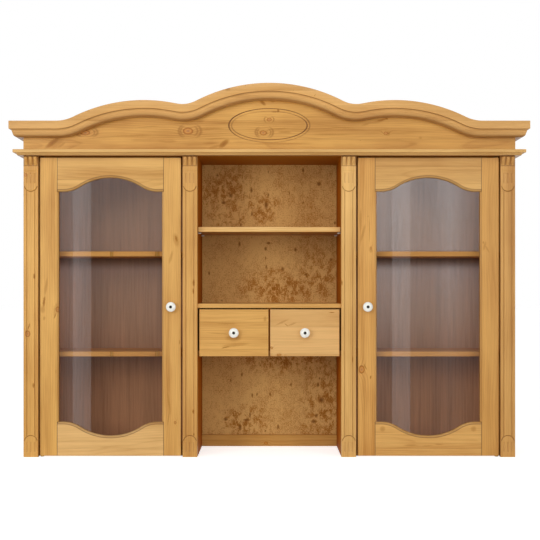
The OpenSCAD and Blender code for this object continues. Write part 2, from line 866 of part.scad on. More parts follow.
// A stile with its moulded edge beside the glass, for the door's left edge
module stile() {
    x_face = door_x0 + stile_w;
    x_open = x_face + mould_w;
    lip_z0 = door_z0 + rail_end_h;
    lip_z1 = door_z1 - rail_end_h;
    difference() {
        union() {
            translate([0, 0, door_z0]) linear_extrude(door_z1 - door_z0)
                polygon([[door_x0, door_y0 + ease], [door_x0 + ease, door_y0], [x_face, door_y0],
                         [x_face, door_y1], [door_x0, door_y1]]);
            block([x_face - over, door_y0, lip_z0], [x_open, door_y0 + lip_t, lip_z1]);
        }
        block([x_open - glass_rebate, door_y0 + lip_t, glass_z0],
              [x_open + over, door_y1 + over, glass_z1]);
        translate([x_open, door_y0, lip_z0]) linear_extrude(lip_z1 - lip_z0)
            polygon([for (p = mould_cut()) [-p[0], p[1]]]);
    }
}

module hinge_stile() {
    color(pine) difference() {
        stile();
        door_bush_bores();
    }
}

module lock_stile() {
    color(pine) difference() {
        translate([2 * door_mid_x, 0, 0]) mirror([1, 0, 0]) stile();
        translate([door_x1 - knob_inset, door_y0 - over, knob_z]) rotate([-90, 0, 0])
            cylinder(h = door_t + 2 * over, r = screw_r + fit);
    }
}

// Stations along the right half of the curve, as place and direction into the wood
function rail_half(steps = 12) = concat(
    [for (i = [0:steps]) let (a = 90 - arch_swing * i / steps, d = [cos(a), sin(a)])
        [arch_c + arch_r * d, d]],
    [for (i = [1:steps]) let (a = arch_angle + arch_swing * i / steps, d = [cos(a), sin(a)])
        [rail_end_c - rail_end_r * d, d]],
    [[[rail_w / 2 + over, -rail_end_h], [0, 1]]]);

function rail_stations() = let (half = rail_half())
    concat([for (i = [len(half) - 1:-1:1]) [[-half[i][0][0], half[i][0][1]],
                                            [-half[i][1][0], half[i][1][1]]]],
           half);

// The moulded edge as one swept body: its section at each station, joined ring to ring
module rail_mould_cut() {
    stations = rail_stations();
    section = mould_cut();
    n = len(section);
    last = (len(stations) - 1) * n;
    points = [for (s = stations) for (p = section)
        [s[0][0] + p[0] * s[1][0], p[1], s[0][1] + p[0] * s[1][1]]];
    sides = [for (k = [0:n:last - n]) for (i = [0:n - 1])
        [k + i, k + (i + 1) % n, k + n + (i + 1) % n, k + n + i]];
    polyhedron(points, concat(sides, [[for (i = [n - 1:-1:0]) i]],
                              [[for (i = [0:n - 1]) last + i]]));
}

// A rail before its edge is moulded: top edge at height 0, centred, front face at y = 0
module rail_blank() {
    half = rail_w / 2;
    edge = [for (s = rail_stations()) s[0] - over * s[1]];
    difference() {
        translate([0, door_t, 0]) rotate([90, 0, 0]) linear_extrude(door_t)
            intersection() {
                polygon(concat([[-half - over, 0]], edge, [[half + over, 0]]));
                translate([-half, -rail_end_h - 2 * over])
                    square([2 * half, rail_end_h + 2 * over]);
            }
        block([-half - over, lip_t, -rail_end_h - 2 * over],
              [half + over, door_t + over, -rail_mid_h + glass_rebate]);
    }
}

module curved_rail() {
    difference() {
        rail_blank();
        rail_mould_cut();
    }
}

module top_rail() {
    color(pine) translate([door_mid_x, door_y0, door_z1]) curved_rail();
}

module bottom_rail() {
    color(pine) translate([door_mid_x, door_y0, door_z0]) mirror([0, 0, 1]) curved_rail();
}

module glass() {
    color(pane, 0.4)
        block([door_mid_x - glass_half_w + glass_fit, door_y0 + lip_t, glass_z0 + glass_fit],
              [door_mid_x + glass_half_w - glass_fit, door_y0 + lip_t + glass_t,
               glass_z1 - glass_fit]);
}

module glazing_beads() {
    x0 = door_mid_x - glass_half_w;
    x1 = door_mid_x + glass_half_w;
    y0 = door_y0 + lip_t + glass_t;
    color(pine_dark) {
        block([x0, y0, glass_z0], [x0 + bead_w, door_y1, glass_z1]);
        block([x1 - bead_w, y0, glass_z0], [x1, door_y1, glass_z1]);
        block([x0 + bead_w, y0, glass_z0], [x1 - bead_w, door_y1, glass_z0 + bead_w]);
        block([x0 + bead_w, y0, glass_z1 - bead_w], [x1 - bead_w, door_y1, glass_z1]);
    }
}

// A flanged bush with its flange at height 0 and its body upwards
module bush() {
    difference() {
        translate([0, 0, -bush_flange_t]) {
            cylinder(h = bush_flange_t, r = bush_flange_r);
            cylinder(h = bush_flange_t + bush_len - fit, r = bush_r - snug / 2);
        }
        translate([0, 0, -bush_flange_t - over])
            cylinder(h = bush_len + bush_flange_t + 2 * over, r = pivot_r + pivot_play);
    }
}

module pivot_bushes() {
    color(brass) {
        translate([pivot_x, pivot_y, door_z0]) bush();
        translate([pivot_x, pivot_y, door_z1]) mirror([0, 0, 1]) bush();
    }
}

module strike_plate() {
    below_edge = 1;
    color(metal) block([catch_x0, door_y1, case_h - catch_h],
                       [catch_x1, door_y1 + strike_t, door_z1 - below_edge]);
}

// Knob as a turned shape, as radius and distance from the wood: a foot that draws in to the
// neck, a flare out to the widest place, a dome, and a recess for the screw head
function knob_section() = let (
    foot_edge = 2.5,
    dome_z = knob_len - knob_dome_h,
    rim = 1.2,
    head_play = 0.3)
    concat(
        [[screw_r + fit, 0], [knob_foot_r, 0]],
        [for (t = [0:15:90]) [knob_neck_r + (knob_foot_r - knob_neck_r) * (1 - sin(t)),
                              foot_edge + (knob_neck_z - foot_edge) * (1 - cos(t))]],
        [for (t = [15:15:75]) [knob_neck_r + (knob_r - knob_neck_r) * (1 - cos(t)),
                               knob_neck_z + (dome_z - knob_neck_z) * 0.74 * sin(t)]],
        [for (t = [0:10:70]) [knob_r * cos(t), dome_z + knob_dome_h * sin(t)]],
        [[screw_head_r + rim, knob_len], [screw_head_r + head_play, knob_len - knob_recess],
         [screw_r + fit, knob_len - knob_recess]]);

module turned_knob() {
    color(porcelain) rotate([90, 0, 0]) rotate_extrude() polygon(knob_section());
}

// A flat ring of round or six-sided outline behind the wood, its front at distance y
module screw_ring(y, t, r, sides) {
    translate([0, y, 0]) rotate([-90, 0, 0]) difference() {
        cylinder(h = t, r = r, $fn = sides);
        translate([0, 0, -over]) cylinder(h = t + 2 * over, r = screw_r + snug);
    }
}

// Slotted screw through a knob and the wood of thickness t behind it, with washer and nut
module knob_screw(t) {
    head_z = knob_len - knob_recess;
    head_h = 1.8;
    slot_w = 1;
    slot_d = 0.9;
    tail = 2;
    shank_z = -t - washer_t - nut_t - tail;
    color(metal) {
        rotate([90, 0, 0]) difference() {
            union() {
                translate([0, 0, head_z]) rotate_extrude()
                    polygon(concat([[0, 0]], [for (a = [0:15:90])
                                              [screw_head_r * cos(a), head_h * sin(a)]]));
                translate([0, 0, shank_z]) cylinder(h = head_z - shank_z, r = screw_r);
            }
            translate([-screw_head_r - over, -slot_w / 2, head_z + head_h - slot_d])
                cube([2 * (screw_head_r + over), slot_w, slot_d + over]);
        }
        screw_ring(t, washer_t, washer_r, 64);
        screw_ring(t + washer_t, nut_t, nut_r, 6);
    }
}

module door_knob() translate([door_x1 - knob_inset, door_y0, knob_z]) turned_knob();
module door_knob_screw() translate([door_x1 - knob_inset, door_y0, knob_z]) knob_screw(door_t);

module left_hinge_stile() hinge_stile();
module left_lock_stile() lock_stile();
module left_top_rail() top_rail();
module left_bottom_rail() bottom_rail();
module left_glass() glass();
module left_glazing_beads() glazing_beads();
module left_pivot_bushes() pivot_bushes();
module left_strike_plate() strike_plate();
module left_door_knob() door_knob();
module left_door_knob_screw() door_knob_screw();

module right_hinge_stile() mirror([1, 0, 0]) hinge_stile();
module right_lock_stile() mirror([1, 0, 0]) lock_stile();
module right_top_rail() mirror([1, 0, 0]) top_rail();
module right_bottom_rail() mirror([1, 0, 0]) bottom_rail();
module right_glass() mirror([1, 0, 0]) glass();
module right_glazing_beads() mirror([1, 0, 0]) glazing_beads();
module right_pivot_bushes() mirror([1, 0, 0]) pivot_bushes();
module right_strike_plate() mirror([1, 0, 0]) strike_plate();
module right_door_knob() mirror([1, 0, 0]) door_knob();
module right_door_knob_screw() mirror([1, 0, 0]) door_knob_screw();

// Drawers, drawn for the left cell

module drawer_front() {
    color(pine) difference() {
        translate([0, 0, drawer_z0]) linear_extrude(drawer_front_h)
            polygon([[drawer_x0, door_y0 + ease], [drawer_x0 + ease, door_y0],
                     [drawer_x1 - ease, door_y0], [drawer_x1, door_y0 + ease],
                     [drawer_x1, drawer_y1], [drawer_x0, drawer_y1]]);
        translate([drawer_mid_x, door_y0 - over, drawer_mid_z]) rotate([-90, 0, 0])
            cylinder(h = drawer_front_t + 2 * over, r = screw_r + fit);
        bottom_groove();
    }
}

// Room for the bottom panel in the front and the sides
module bottom_groove() {
    block([box_x0 + box_t - drawer_groove, drawer_y1 - drawer_groove, bottom_z0 - groove_play],
          [box_x1 - box_t + drawer_groove, drawer_y1 + box_d + over,
           bottom_z0 + drawer_bottom_t + groove_play]);
}

module drawer_box() {
    color(pine_dark) {
        difference() {
            union() {
                block([box_x0, drawer_y1, box_z0], [box_x0 + box_t, drawer_y1 + box_d, box_z1]);
                block([box_x1 - box_t, drawer_y1, box_z0], [box_x1, drawer_y1 + box_d, box_z1]);
            }
            bottom_groove();
        }
        block([box_x0 + box_t, drawer_y1 + box_d - box_t,
               bottom_z0 + drawer_bottom_t + groove_play],
              [box_x1 - box_t, drawer_y1 + box_d, box_z1]);
    }
}

module drawer_bottom() {
    color(plywood)
        block([box_x0 + box_t - drawer_groove + groove_play, drawer_y1 - drawer_groove + groove_play,
               bottom_z0],
              [box_x1 - box_t + drawer_groove - groove_play, drawer_y1 + box_d,
               bottom_z0 + drawer_bottom_t]);
}

module drawer_knob() translate([drawer_mid_x, door_y0, drawer_mid_z]) turned_knob();
module drawer_knob_screw() {
    translate([drawer_mid_x, door_y0, drawer_mid_z]) knob_screw(drawer_front_t);
}

module left_drawer_front() drawer_front();
module left_drawer_box() drawer_box();
module left_drawer_bottom() drawer_bottom();
module left_drawer_knob() drawer_knob();
module left_drawer_knob_screw() drawer_knob_screw();

module right_drawer_front() mirror([1, 0, 0]) drawer_front();
module right_drawer_box() mirror([1, 0, 0]) drawer_box();
module right_drawer_bottom() mirror([1, 0, 0]) drawer_bottom();
module right_drawer_knob() mirror([1, 0, 0]) drawer_knob();
module right_drawer_knob_screw() mirror([1, 0, 0]) drawer_knob_screw();

side_panel_left();
side_panel_right();
partition_left();
partition_right();
top_board();
bottom_boards();
back_panel_left();
back_panel_centre();
back_panel_right();
back_rail();
pilaster_outer_left();
pilaster_inner_left();
pilaster_inner_right();
pilaster_outer_right();
waist_moulding_front();
waist_moulding_returns();
frieze_front();
frieze_sides();
crown_front();
crown_returns();
glue_blocks();
glazed_bay_shelves();
centre_shelf();
fixed_shelf();
drawer_floor();
drawer_divider();
shelf_pins();
pivot_brackets();
pivot_screws();
magnet_catches();
left_hinge_stile();
left_lock_stile();
left_top_rail();
left_bottom_rail();
left_glass();
left_glazing_beads();
left_pivot_bushes();
left_strike_plate();
left_door_knob();
left_door_knob_screw();
right_hinge_stile();
right_lock_stile();
right_top_rail();
right_bottom_rail();
right_glass();
right_glazing_beads();
right_pivot_bushes();
right_strike_plate();
right_door_knob();
right_door_knob_screw();
left_drawer_front();
left_drawer_box();
left_drawer_bottom();
left_drawer_knob();
left_drawer_knob_screw();
right_drawer_front();
right_drawer_box();
right_drawer_bottom();
right_drawer_knob();
right_drawer_knob_screw();
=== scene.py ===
from functools import partial, reduce
import json
import math

import bmesh
import bpy
import numpy as np
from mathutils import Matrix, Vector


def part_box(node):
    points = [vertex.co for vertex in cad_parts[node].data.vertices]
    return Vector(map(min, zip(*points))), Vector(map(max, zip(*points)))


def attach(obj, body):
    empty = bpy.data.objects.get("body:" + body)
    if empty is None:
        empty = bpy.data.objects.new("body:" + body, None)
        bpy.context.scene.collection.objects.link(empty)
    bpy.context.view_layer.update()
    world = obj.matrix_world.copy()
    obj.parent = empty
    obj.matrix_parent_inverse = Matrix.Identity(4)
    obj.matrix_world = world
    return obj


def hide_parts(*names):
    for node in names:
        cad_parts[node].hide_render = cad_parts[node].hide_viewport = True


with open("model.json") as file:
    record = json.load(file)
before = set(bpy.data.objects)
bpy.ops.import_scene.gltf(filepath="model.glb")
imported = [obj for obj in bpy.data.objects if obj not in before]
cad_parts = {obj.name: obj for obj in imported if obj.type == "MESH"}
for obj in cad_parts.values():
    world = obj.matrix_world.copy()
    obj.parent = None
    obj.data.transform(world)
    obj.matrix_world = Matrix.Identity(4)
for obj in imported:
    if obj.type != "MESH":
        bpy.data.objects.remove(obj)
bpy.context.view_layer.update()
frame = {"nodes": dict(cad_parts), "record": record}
nodes = frame["nodes"]
body_of = {n: b for b, members in frame["record"]["behaviour"]["bodies"].items()
           for n in members}

# A china cabinet of pine: its finishes, its carved and moulded pieces, the light and the camera

# Places of the cabinet, in metres
HALF_W = 0.867
FRONT, BACK = -0.1285, 0.1715
BOARD_Y = -0.1085           # face of the boards behind the pilasters
CASE_H, TOP_Z = 1.062, 1.082
CROWN_END = TOP_Z + 0.098   # straight top line at both ends of the crown
DOOR_Y = -0.1165
DOOR_Z0, DOOR_Z1 = 0.003, 1.057
DOOR_X = 0.562              # middle of a door
RAIL_HALF = 0.189
OUTER_X, INNER_X = 0.841, 0.280
EASED = 0.0007              # round of an arris


# Colour and nodes

def linear(code, alpha=1.0):
    """Linear light of an sRGB hex code."""
    channels = [int(code[i:i + 2], 16) / 255 for i in (1, 3, 5)]
    return [c / 12.92 if c <= 0.04045 else ((c + 0.055) / 1.055) ** 2.4
            for c in channels] + [alpha]


def shaded(code, light=1.0, warm=0.0):
    """A hex code made lighter or darker by a factor of linear light, warm takes out blue."""
    out = []
    for c, w in zip(linear(code), (1.0, 1.0 - warm * 0.45, 1.0 - warm)):
        v = min(max(c * light * w, 0.0), 1.0)
        v = 12.92 * v if v <= 0.0031308 else 1.055 * v ** (1 / 2.4) - 0.055
        out.append(round(255 * v))
    return "#%02x%02x%02x" % tuple(out)


def feed(target, inputs):
    """Sets the inputs of a node or links other nodes to them, in order or by name."""
    for key, value in inputs.items() if isinstance(inputs, dict) else enumerate(inputs):
        socket = target.inputs[key]
        if isinstance(value, bpy.types.NodeSocket):
            target.id_data.links.new(value, socket)
        else:
            socket.default_value = value


def node(tree, kind, inputs=(), stops=(), **settings):
    """Adds a shader node and returns its outputs. kind is its type, for some with its operation,
    stops are the (place, hex, opacity) of a colour ramp, and settings its other properties."""
    kind, _, operation = kind.partition(" ")
    made = tree.nodes.new("ShaderNode" + kind)
    if operation:
        made.operation = operation
    for name, value in settings.items():
        setattr(made, name, value)
    feed(made, inputs)
    if stops:
        points = made.color_ramp.elements
        points.remove(points[-1])
        points[0].position = stops[0][0]
        for k, (place, code, *opacity) in enumerate(stops):
            point = points.new(place) if k else points[0]
            point.color = linear(code, *opacity)
    return made.outputs


def finish_of(name):
    """A new material, the function that adds its nodes, and its Principled shader."""
    material = bpy.data.materials.new(name)
    material.use_nodes = True
    tree = material.node_tree
    return material, partial(node, tree), tree.nodes["Principled BSDF"]


def surface(material, outputs):
    """Takes the last node's first output as the surface of a material."""
    feed(material.node_tree.nodes["Material Output"], {"Surface": outputs[0]})


def chained(add, operation, sockets):
    """One value from many, such as their sum or their least, and None from none."""
    return reduce(lambda a, b: add("Math " + operation, (a, b))[0], sockets) if sockets else None


def clouded(add, place, scale, shift=(0, 0, 0), **inputs):
    """Noise over a place that is first stretched and shifted: streaks, fibres or clouds."""
    fit = add("Mapping", {"Vector": place, "Location": shift, "Scale": scale})[0]
    return add("TexNoise", {"Vector": fit, "Scale": 1.0, **inputs})


def weighed(add, level, parts):
    """Level plus each (value, weight), where the value counts from its middle, 0.5."""
    for value, weight in parts:
        centred = add("Math SUBTRACT", (value, 0.5))[0]
        level = add("Math MULTIPLY_ADD", (centred, weight, level))[0]
    return level


def coated(add, colour, coats):
    """Coats laid over a colour one by one. A coat is (amount, hex), or (value, stops) where its
    colour and opacity follow a ramp over the value."""
    for amount, over in coats:
        if isinstance(over, str):
            over = linear(over)
        else:
            film = add("ValToRGB", (amount,), over)
            amount, over = film["Alpha"], film[0]
        colour = add("Mix", {0: amount, 6: colour, 7: over}, data_type="RGBA")[2]
    return colour


# Pine

RING = 0.0046   # width of a growth ring in metres
# How dark a ring is from its start to its end: early wood, then late wood
YEAR = ((0.0, "#404040"), (0.12, "#101010"), (0.45, "#202020"), (0.82, "#c8c8c8"),
        (0.93, "#ffffff"), (1.0, "#404040"))
# A knot from its heart to its edge, and nothing outside it
HEART = ((0.0, "#a0683a", 0.9), (0.22, "#b97a42", 0.9), (0.50, "#cb8a3e", 0.9),
         (0.72, "#b86f1e", 0.93), (0.90, "#96540c", 0.95), (1.0, "#a2661a", 0.65),
         (1.0, "#d8a45a", 0.0))
# The routed oval of the frieze: half width and height of each line, and lean of its painted shade
OVAL = ((0.1428, 0.0598, 0.25), (0.1332, 0.0502, -0.25))
OVAL_Z = 1.169


def pine(name, grain, face, at, tone, seed=0.0, pith=(0.0, 0.085), contrast=1.0, strips=None,
         strip_tone=0.10, joints=(), knots=(), smudges=(), patches=(), curls=(), glaze=(),
         oval=False, lacquer=0.15):
    """Knotty pine, planed, stained honey and lacquered satin.

    The board is cut from a log whose pith runs along the grain at pith = (across, behind the
    face). A growth ring is one step of the distance from the pith, plus a slow noise and a
    swelling round each knot, so the face shows the cathedral figure of a flat-sawn board and the
    ends show arcs. Late wood is a darker, redder line at the end of each ring. strips is the
    width in metres of the glued lamellas, each from its own place in the log, and joints gives
    single glue joints as (place across, change of tone above it). Joints and marks are in
    millimetres in the cabinet's frame. A knot is (across, along, half width), with its half
    length where that isn't 1.25 times as much. A smudge of resin or slanting grain is (across,
    along, half width, half length, turn in degrees), and a patch is a fainter one; on the left
    drawer front one patch is the painted shadow of the knob. curls are the ellipses whose two
    ends show as arcs of rings round a knot: (across, along, half width, half length). glaze is
    (axis, from, to, stops), a coat along an axis of the cabinet in metres, used for painted light
    and shade, for dark lines at joints, and for stain with painted shade along moulded edges.
    lacquer is the weight of the clear coat, 0 inside.
    """
    material, add, shader = finish_of(name)
    place = add("TexCoord")["Object"]
    axis = add("SeparateXYZ", (add("VectorMath SUBTRACT", (place, at))[0],))
    side = ({"X", "Y", "Z"} - {grain, face}).pop()
    across, behind, along = axis[side], axis[face], axis[grain]
    middle_of = dict(zip("XYZ", at))
    wood = cut = add("CombineXYZ", (across, behind, along))[0]
    if strips:
        # Each lamella is cut up to 50 mm aside, 20 mm deeper and 1.7 m along
        step = add("Math MULTIPLY_ADD", (across, 1 / strips, 0.37 + seed))[0]
        index = add("Math FLOOR", (step,))[0]
        odd = add("Math ADD", (index, seed * 7.31))[0]
        luck = add("TexWhiteNoise", {"W": odd}, noise_dimensions="1D")
        cut = add("VectorMath MULTIPLY_ADD", (luck["Color"], (0.05, 0.02, 1.7), wood))[0]
    changes, lines = [], []
    for spot, change in joints:
        # What lies above a joint is cut 21 mm aside, 4 mm deeper and 0.37 m along
        spot = spot / 1000 - middle_of[side]
        above = add("Math GREATER_THAN", (across, spot))[0]
        cut = add("VectorMath MULTIPLY_ADD", (above, (0.021, 0.004, 0.37), cut))[0]
        changes.append(add("Math MULTIPLY", (above, change))[0])
        lines.append(add("Math COMPARE", (across, spot, 0.0006))[0])

    # Outlines of knots and smudges waver by up to 2 mm, over 5 mm
    ragged = add("TexNoise", {"Vector": wood, "Scale": 190.0, "Detail": 2.0})["Color"]
    uneven = add("VectorMath MULTIPLY_ADD", (ragged, (0.0045,) * 3, wood))[0]
    uneven = add("VectorMath SUBTRACT", (uneven, (0.00225,) * 3))[0]

    def in_ellipse(spot_across, spot_along, half_width, half_length=None, turn=0):
        """Place as seen from an ellipse that goes right through the board, in half widths and
        half lengths, and how far out that is, 1 at its edge."""
        through = 9.0
        centre = (spot_across / 1000 - middle_of[side], 0.0,
                  spot_along / 1000 - middle_of[grain])
        size = (half_width / 1000, through, (half_length or 1.25 * half_width) / 1000)
        rel = add("Mapping", {"Vector": uneven, "Location": centre, "Scale": size,
                              "Rotation": (0, math.radians(turn), 0)}, vector_type="TEXTURE")[0]
        return rel, add("VectorMath LENGTH", (rel,))["Value"]

    def nearest(spots):
        """How far out of the nearest of some ellipses a place is."""
        return chained(add, "MINIMUM", [in_ellipse(*spot)[1] for spot in spots])

    # Slow sway of the trunk: 12 mm from side to side within a span of about 0.8 m
    sway = clouded(add, cut, (5.5, 5.5, 1.3), (seed * 3.1, seed, seed * 5.7),
                   Detail=3.0, Roughness=0.45)[0]
    # Tone streaks about 20 mm wide and 0.8 m long, fibres 1.5 mm wide and 60 mm long, and
    # blotches 90 mm wide and 0.3 m long
    streak = clouded(add, cut, (48, 48, 1.3), (seed, seed * 2.3, seed * 1.9), Detail=3.0)[0]
    fibre = clouded(add, cut, (640, 640, 16), Detail=2.0)[0]
    blotch = clouded(add, cut, (11, 11, 3.4), (seed * 1.3, 0, seed), Detail=2.0)[0]

    from_pith = add("VectorMath MULTIPLY_ADD", (cut, (1, 1, 0), (-pith[0], -pith[1], 0)))[0]
    radius = add("VectorMath LENGTH", (from_pith,))["Value"]
    radius = add("Math MULTIPLY_ADD", (sway, 0.045, radius))[0]
    knot = nearest(knots)
    # Rings swell by 7 mm round a knot, and their late wood is darker there
    if knots:
        square = add("Math MULTIPLY", (knot, knot))[0]
        bump, halo = (add("Math EXPONENT", (add("Math MULTIPLY", (square, fall))[0],))[0]
                      for fall in (-0.30, -0.11))
        radius = add("Math MULTIPLY_ADD", (bump, 0.007, radius))[0]
    count = add("Math MULTIPLY", (radius, 1 / RING))[0]
    year = add("Math FRACT", (count,))[0]
    late = add("ValToRGB", (year,), YEAR)[0]

    level = add("Math MULTIPLY_ADD", (late, 0.17 * contrast, 0.35 - 0.08 * contrast))[0]
    if knots:
        bent = add("Math MULTIPLY", (late, halo))[0]
        level = add("Math MULTIPLY_ADD", (bent, 0.16, level))[0]
    parts = [(streak, 0.90 * contrast), (fibre, 0.45 * contrast), (blotch, 0.80 * contrast)]
    if strips:
        parts.append((luck["Value"], strip_tone * 3))
    level = weighed(add, level, parts)
    if joints:
        level = add("Math ADD", (chained(add, "ADD", changes), level))[0]
    colour = add("ValToRGB", (level,), (
        (0.0, shaded(tone, 1.18, 0.08)), (0.32, shaded(tone, 1.0, 0.2)),
        (0.62, shaded(tone, 0.80, 0.44)), (1.0, shaded(tone, 0.50, 0.80))))[0]

    coats = [(nearest(spots), ((0.0, "#985a02", 0.95 * weight), (0.6, "#a86a0c", 0.78 * weight),
                               (1.0, "#bc8438", 0.0)))
             for spots, weight in ((patches, 0.45), (smudges, 1.0)) if spots]
    arcs = []
    for curl in curls:
        rel, far = in_ellipse(*curl)
        off = add("Math ABSOLUTE", (add("Math SUBTRACT", (far, 1.0))[0],))[0]
        rim = add("MapRange", (off, 0.03, 0.20, 1.0, 0.0))[0]
        end = add("Math ABSOLUTE", (add("SeparateXYZ", (rel,))["Z"],))[0]
        arcs.append(add("Math MULTIPLY", (rim, add("MapRange", (end, 0.45, 0.9))[0]))[0])
    if curls:
        curl = chained(add, "MAXIMUM", arcs)
        coats.append((add("Math MULTIPLY", (curl, 0.64))[0], "#9a6018"))
    if joints:
        glue = chained(add, "ADD", lines)
        coats.append((add("Math MULTIPLY", (glue, 0.4))[0], shaded(tone, 0.5, 0.6)))
    if strips:
        dark = shaded(tone, 0.45, 0.3)
        coats.append((add("Math FRACT", (step,))[0], ((0.0, dark, 0.6), (0.02, dark, 0.0))))
    if knots:
        coats.append((knot, HEART))
    spot = add("SeparateXYZ", (place,))
    coats += [(add("MapRange", (spot[which], low, high))[0], stops)
              for which, low, high, stops in glaze]
    # Stain and painted shade in the oval's lines: outer heavier at upper left, inner at lower right
    for a, b, turn in OVAL if oval else ():
        flat = add("VectorMath MULTIPLY_ADD", (place, (1 / a, 0, 1 / b), (0, 0, -OVAL_Z / b)))[0]
        reach = add("VectorMath LENGTH", (flat,))["Value"]
        line = add("Math COMPARE", (reach, 1.0, 0.019))[0]
        lean = add("VectorMath DOT_PRODUCT", (flat, (-turn, 0, turn)))["Value"]
        deep = add("Math ADD", (lean, 0.58))[0]
        coats.append((add("Math MULTIPLY", (line, deep), use_clamp=True)[0], "#7c4810"))
    # Stain and painted shade that the mesh gives the hollows of mouldings and carving
    moulding_shade_and_stain = add("Attribute", attribute_name="hollow")["Fac"]
    coats.append((add("Math MULTIPLY", (moulding_shade_and_stain, 0.72), use_clamp=True)[0], "#70400f"))

    relief = add("Math MULTIPLY_ADD", (late, 0.6, fibre))[0]
    feed(shader, {
        "Base Color": coated(add, colour, coats),
        "Roughness": add("Math MULTIPLY_ADD", (fibre, 0.16, 0.34 if lacquer else 0.58))[0],
        "Normal": add("Bump", {"Height": relief, "Strength": 0.22, "Distance": 0.00025})[0],
        "IOR": 1.5, "Specular IOR Level": 0.35 if lacquer else 0.08, "Coat Weight": lacquer,
        "Coat Roughness": 0.22})
    return material


# Other finishes

# Marks in the veneer of the centre back: x, z, half width, half height in millimetres
MARKS = ((-104, 268, 4, 8), (-146, 246, 3, 6), (-65, 190, 4, 9), (-47, 194, 3, 8), (3, 194, 4, 9),
         (82, 230, 4, 7), (184, 230, 6, 10), (190, 254, 3, 5), (197, 172, 13, 12),
         (-73, 116, 4, 13), (-86, 97, 15, 5), (-165, 100, 8, 8), (-111, 69, 6, 14),
         (33, 71, 5, 11), (168, 91, 12, 8), (178, 114, 7, 7), (-15, 55, 4, 5), (-3, 766, 8, 6),
         (-14, 745, 6, 8), (-14, 710, 3, 8), (-12, 676, 4, 9), (50, 668, 7, 9), (-228, 652, 4, 8),
         (139, 647, 4, 6), (99, 741, 7, 8), (233, 703, 4, 8), (-113, 763, 5, 9), (-180, 549, 4, 4),
         (-197, 1022, 5, 5), (-146, 946, 8, 9), (-173, 919, 10, 8), (-68, 966, 5, 12),
         (-4, 1036, 2, 6), (-4, 948, 4, 9), (-12, 910, 8, 17), (-66, 877, 4, 11),
         (128, 1042, 4, 11), (120, 1005, 3, 3), (188, 990, 9, 9), (76, 956, 2, 10),
         (128, 920, 3, 7), (-108, 835, 5, 5), (249, 843, 5, 7), (-111, 855, 3, 7))
# Where the veneer is mottled most: the same measures
CLOUDS = ((-165, 960, 95, 80), (-150, 880, 80, 60), (-30, 900, 60, 60), (40, 590, 120, 60),
          (190, 640, 70, 80), (200, 170, 70, 150), (60, 320, 160, 40), (-100, 90, 80, 50))


def figured_plywood(tone="#cb9c5f"):
    """Pine plywood with a mottled face veneer, thinly lacquered: a smooth pale brown ground with
    fine specks, brown mottling in clouds, and dark marks with an orange rim. The right half is
    a little darker."""
    material, add, shader = finish_of("mottled_pine_plywood")
    place = add("TexCoord")["Object"]

    def nearest(spots, warp):
        """Distance from the nearest ellipse, 1 at its edge, with its outline made uneven."""
        shift = clouded(add, place, (150,) * 3, Detail=3.0)["Color"]
        moved = add("VectorMath MULTIPLY_ADD", (shift, (warp,) * 3, place))[0]
        far = []
        for x, z, w, h in spots:
            size = (1000 / w, 0.0, 1000 / h)
            centre = (-(x / 1000 + warp / 2) * size[0], 0.0, -(z / 1000 + warp / 2) * size[2])
            rel = add("VectorMath MULTIPLY_ADD", (moved, size, centre))[0]
            far.append(add("VectorMath LENGTH", (rel,))["Value"])
        return chained(add, "MINIMUM", far)

    # Specks 3 mm by 5 mm, runs of grain 8 mm by 140 mm, mottling in spots 17 mm by 25 mm, and
    # tone that drifts over 0.1 m
    fine = clouded(add, place, (300, 300, 190), Detail=3.0)[0]
    runs = clouded(add, place, (120, 120, 7), Detail=3.0)[0]
    mottle = clouded(add, place, (58, 58, 40), Detail=6.0, Roughness=0.74, Distortion=0.4)[0]
    drift = clouded(add, place, (10, 10, 8), Detail=2.0)[0]
    level = weighed(add, 0.0, ((runs, 0.25), (fine, 1.45), (drift, 0.5)))
    gate = add("MapRange", (nearest(CLOUDS, 0.03), 0.3, 1.5, 1.0, 0.30))[0]
    spot = add("MapRange", (mottle, 0.40, 0.60, 0.0, 0.62), interpolation_type="SMOOTHSTEP")[0]
    level = add("Math MULTIPLY_ADD", (spot, gate, level))[0]
    half = add("Math GREATER_THAN", (add("SeparateXYZ", (place,))["X"], 0.0005))[0]
    level = add("Math MULTIPLY_ADD", (half, 0.05, level))[0]
    colour = add("ValToRGB", (level,), (
        (0.0, shaded(tone, 1.14)), (0.20, shaded(tone, 0.98, 0.04)),
        (0.45, shaded(tone, 0.72, 0.6)), (0.85, shaded(tone, 0.44, 0.9))))[0]
    mark = ((0.0, "#6a3a10", 0.85), (0.5, "#7c4814", 0.75), (1.0, "#a5692a", 0.35),
            (1.0, "#b57a38", 0.0))
    feed(shader, {
        "Base Color": coated(add, colour, [(nearest(MARKS, 0.006), mark)]),
        "Roughness": add("Math MULTIPLY_ADD", (runs, 0.15, 0.5))[0],
        "Normal": add("Bump", {"Height": runs, "Strength": 0.2, "Distance": 0.0002})[0],
        "Specular IOR Level": 0.1})
    return material


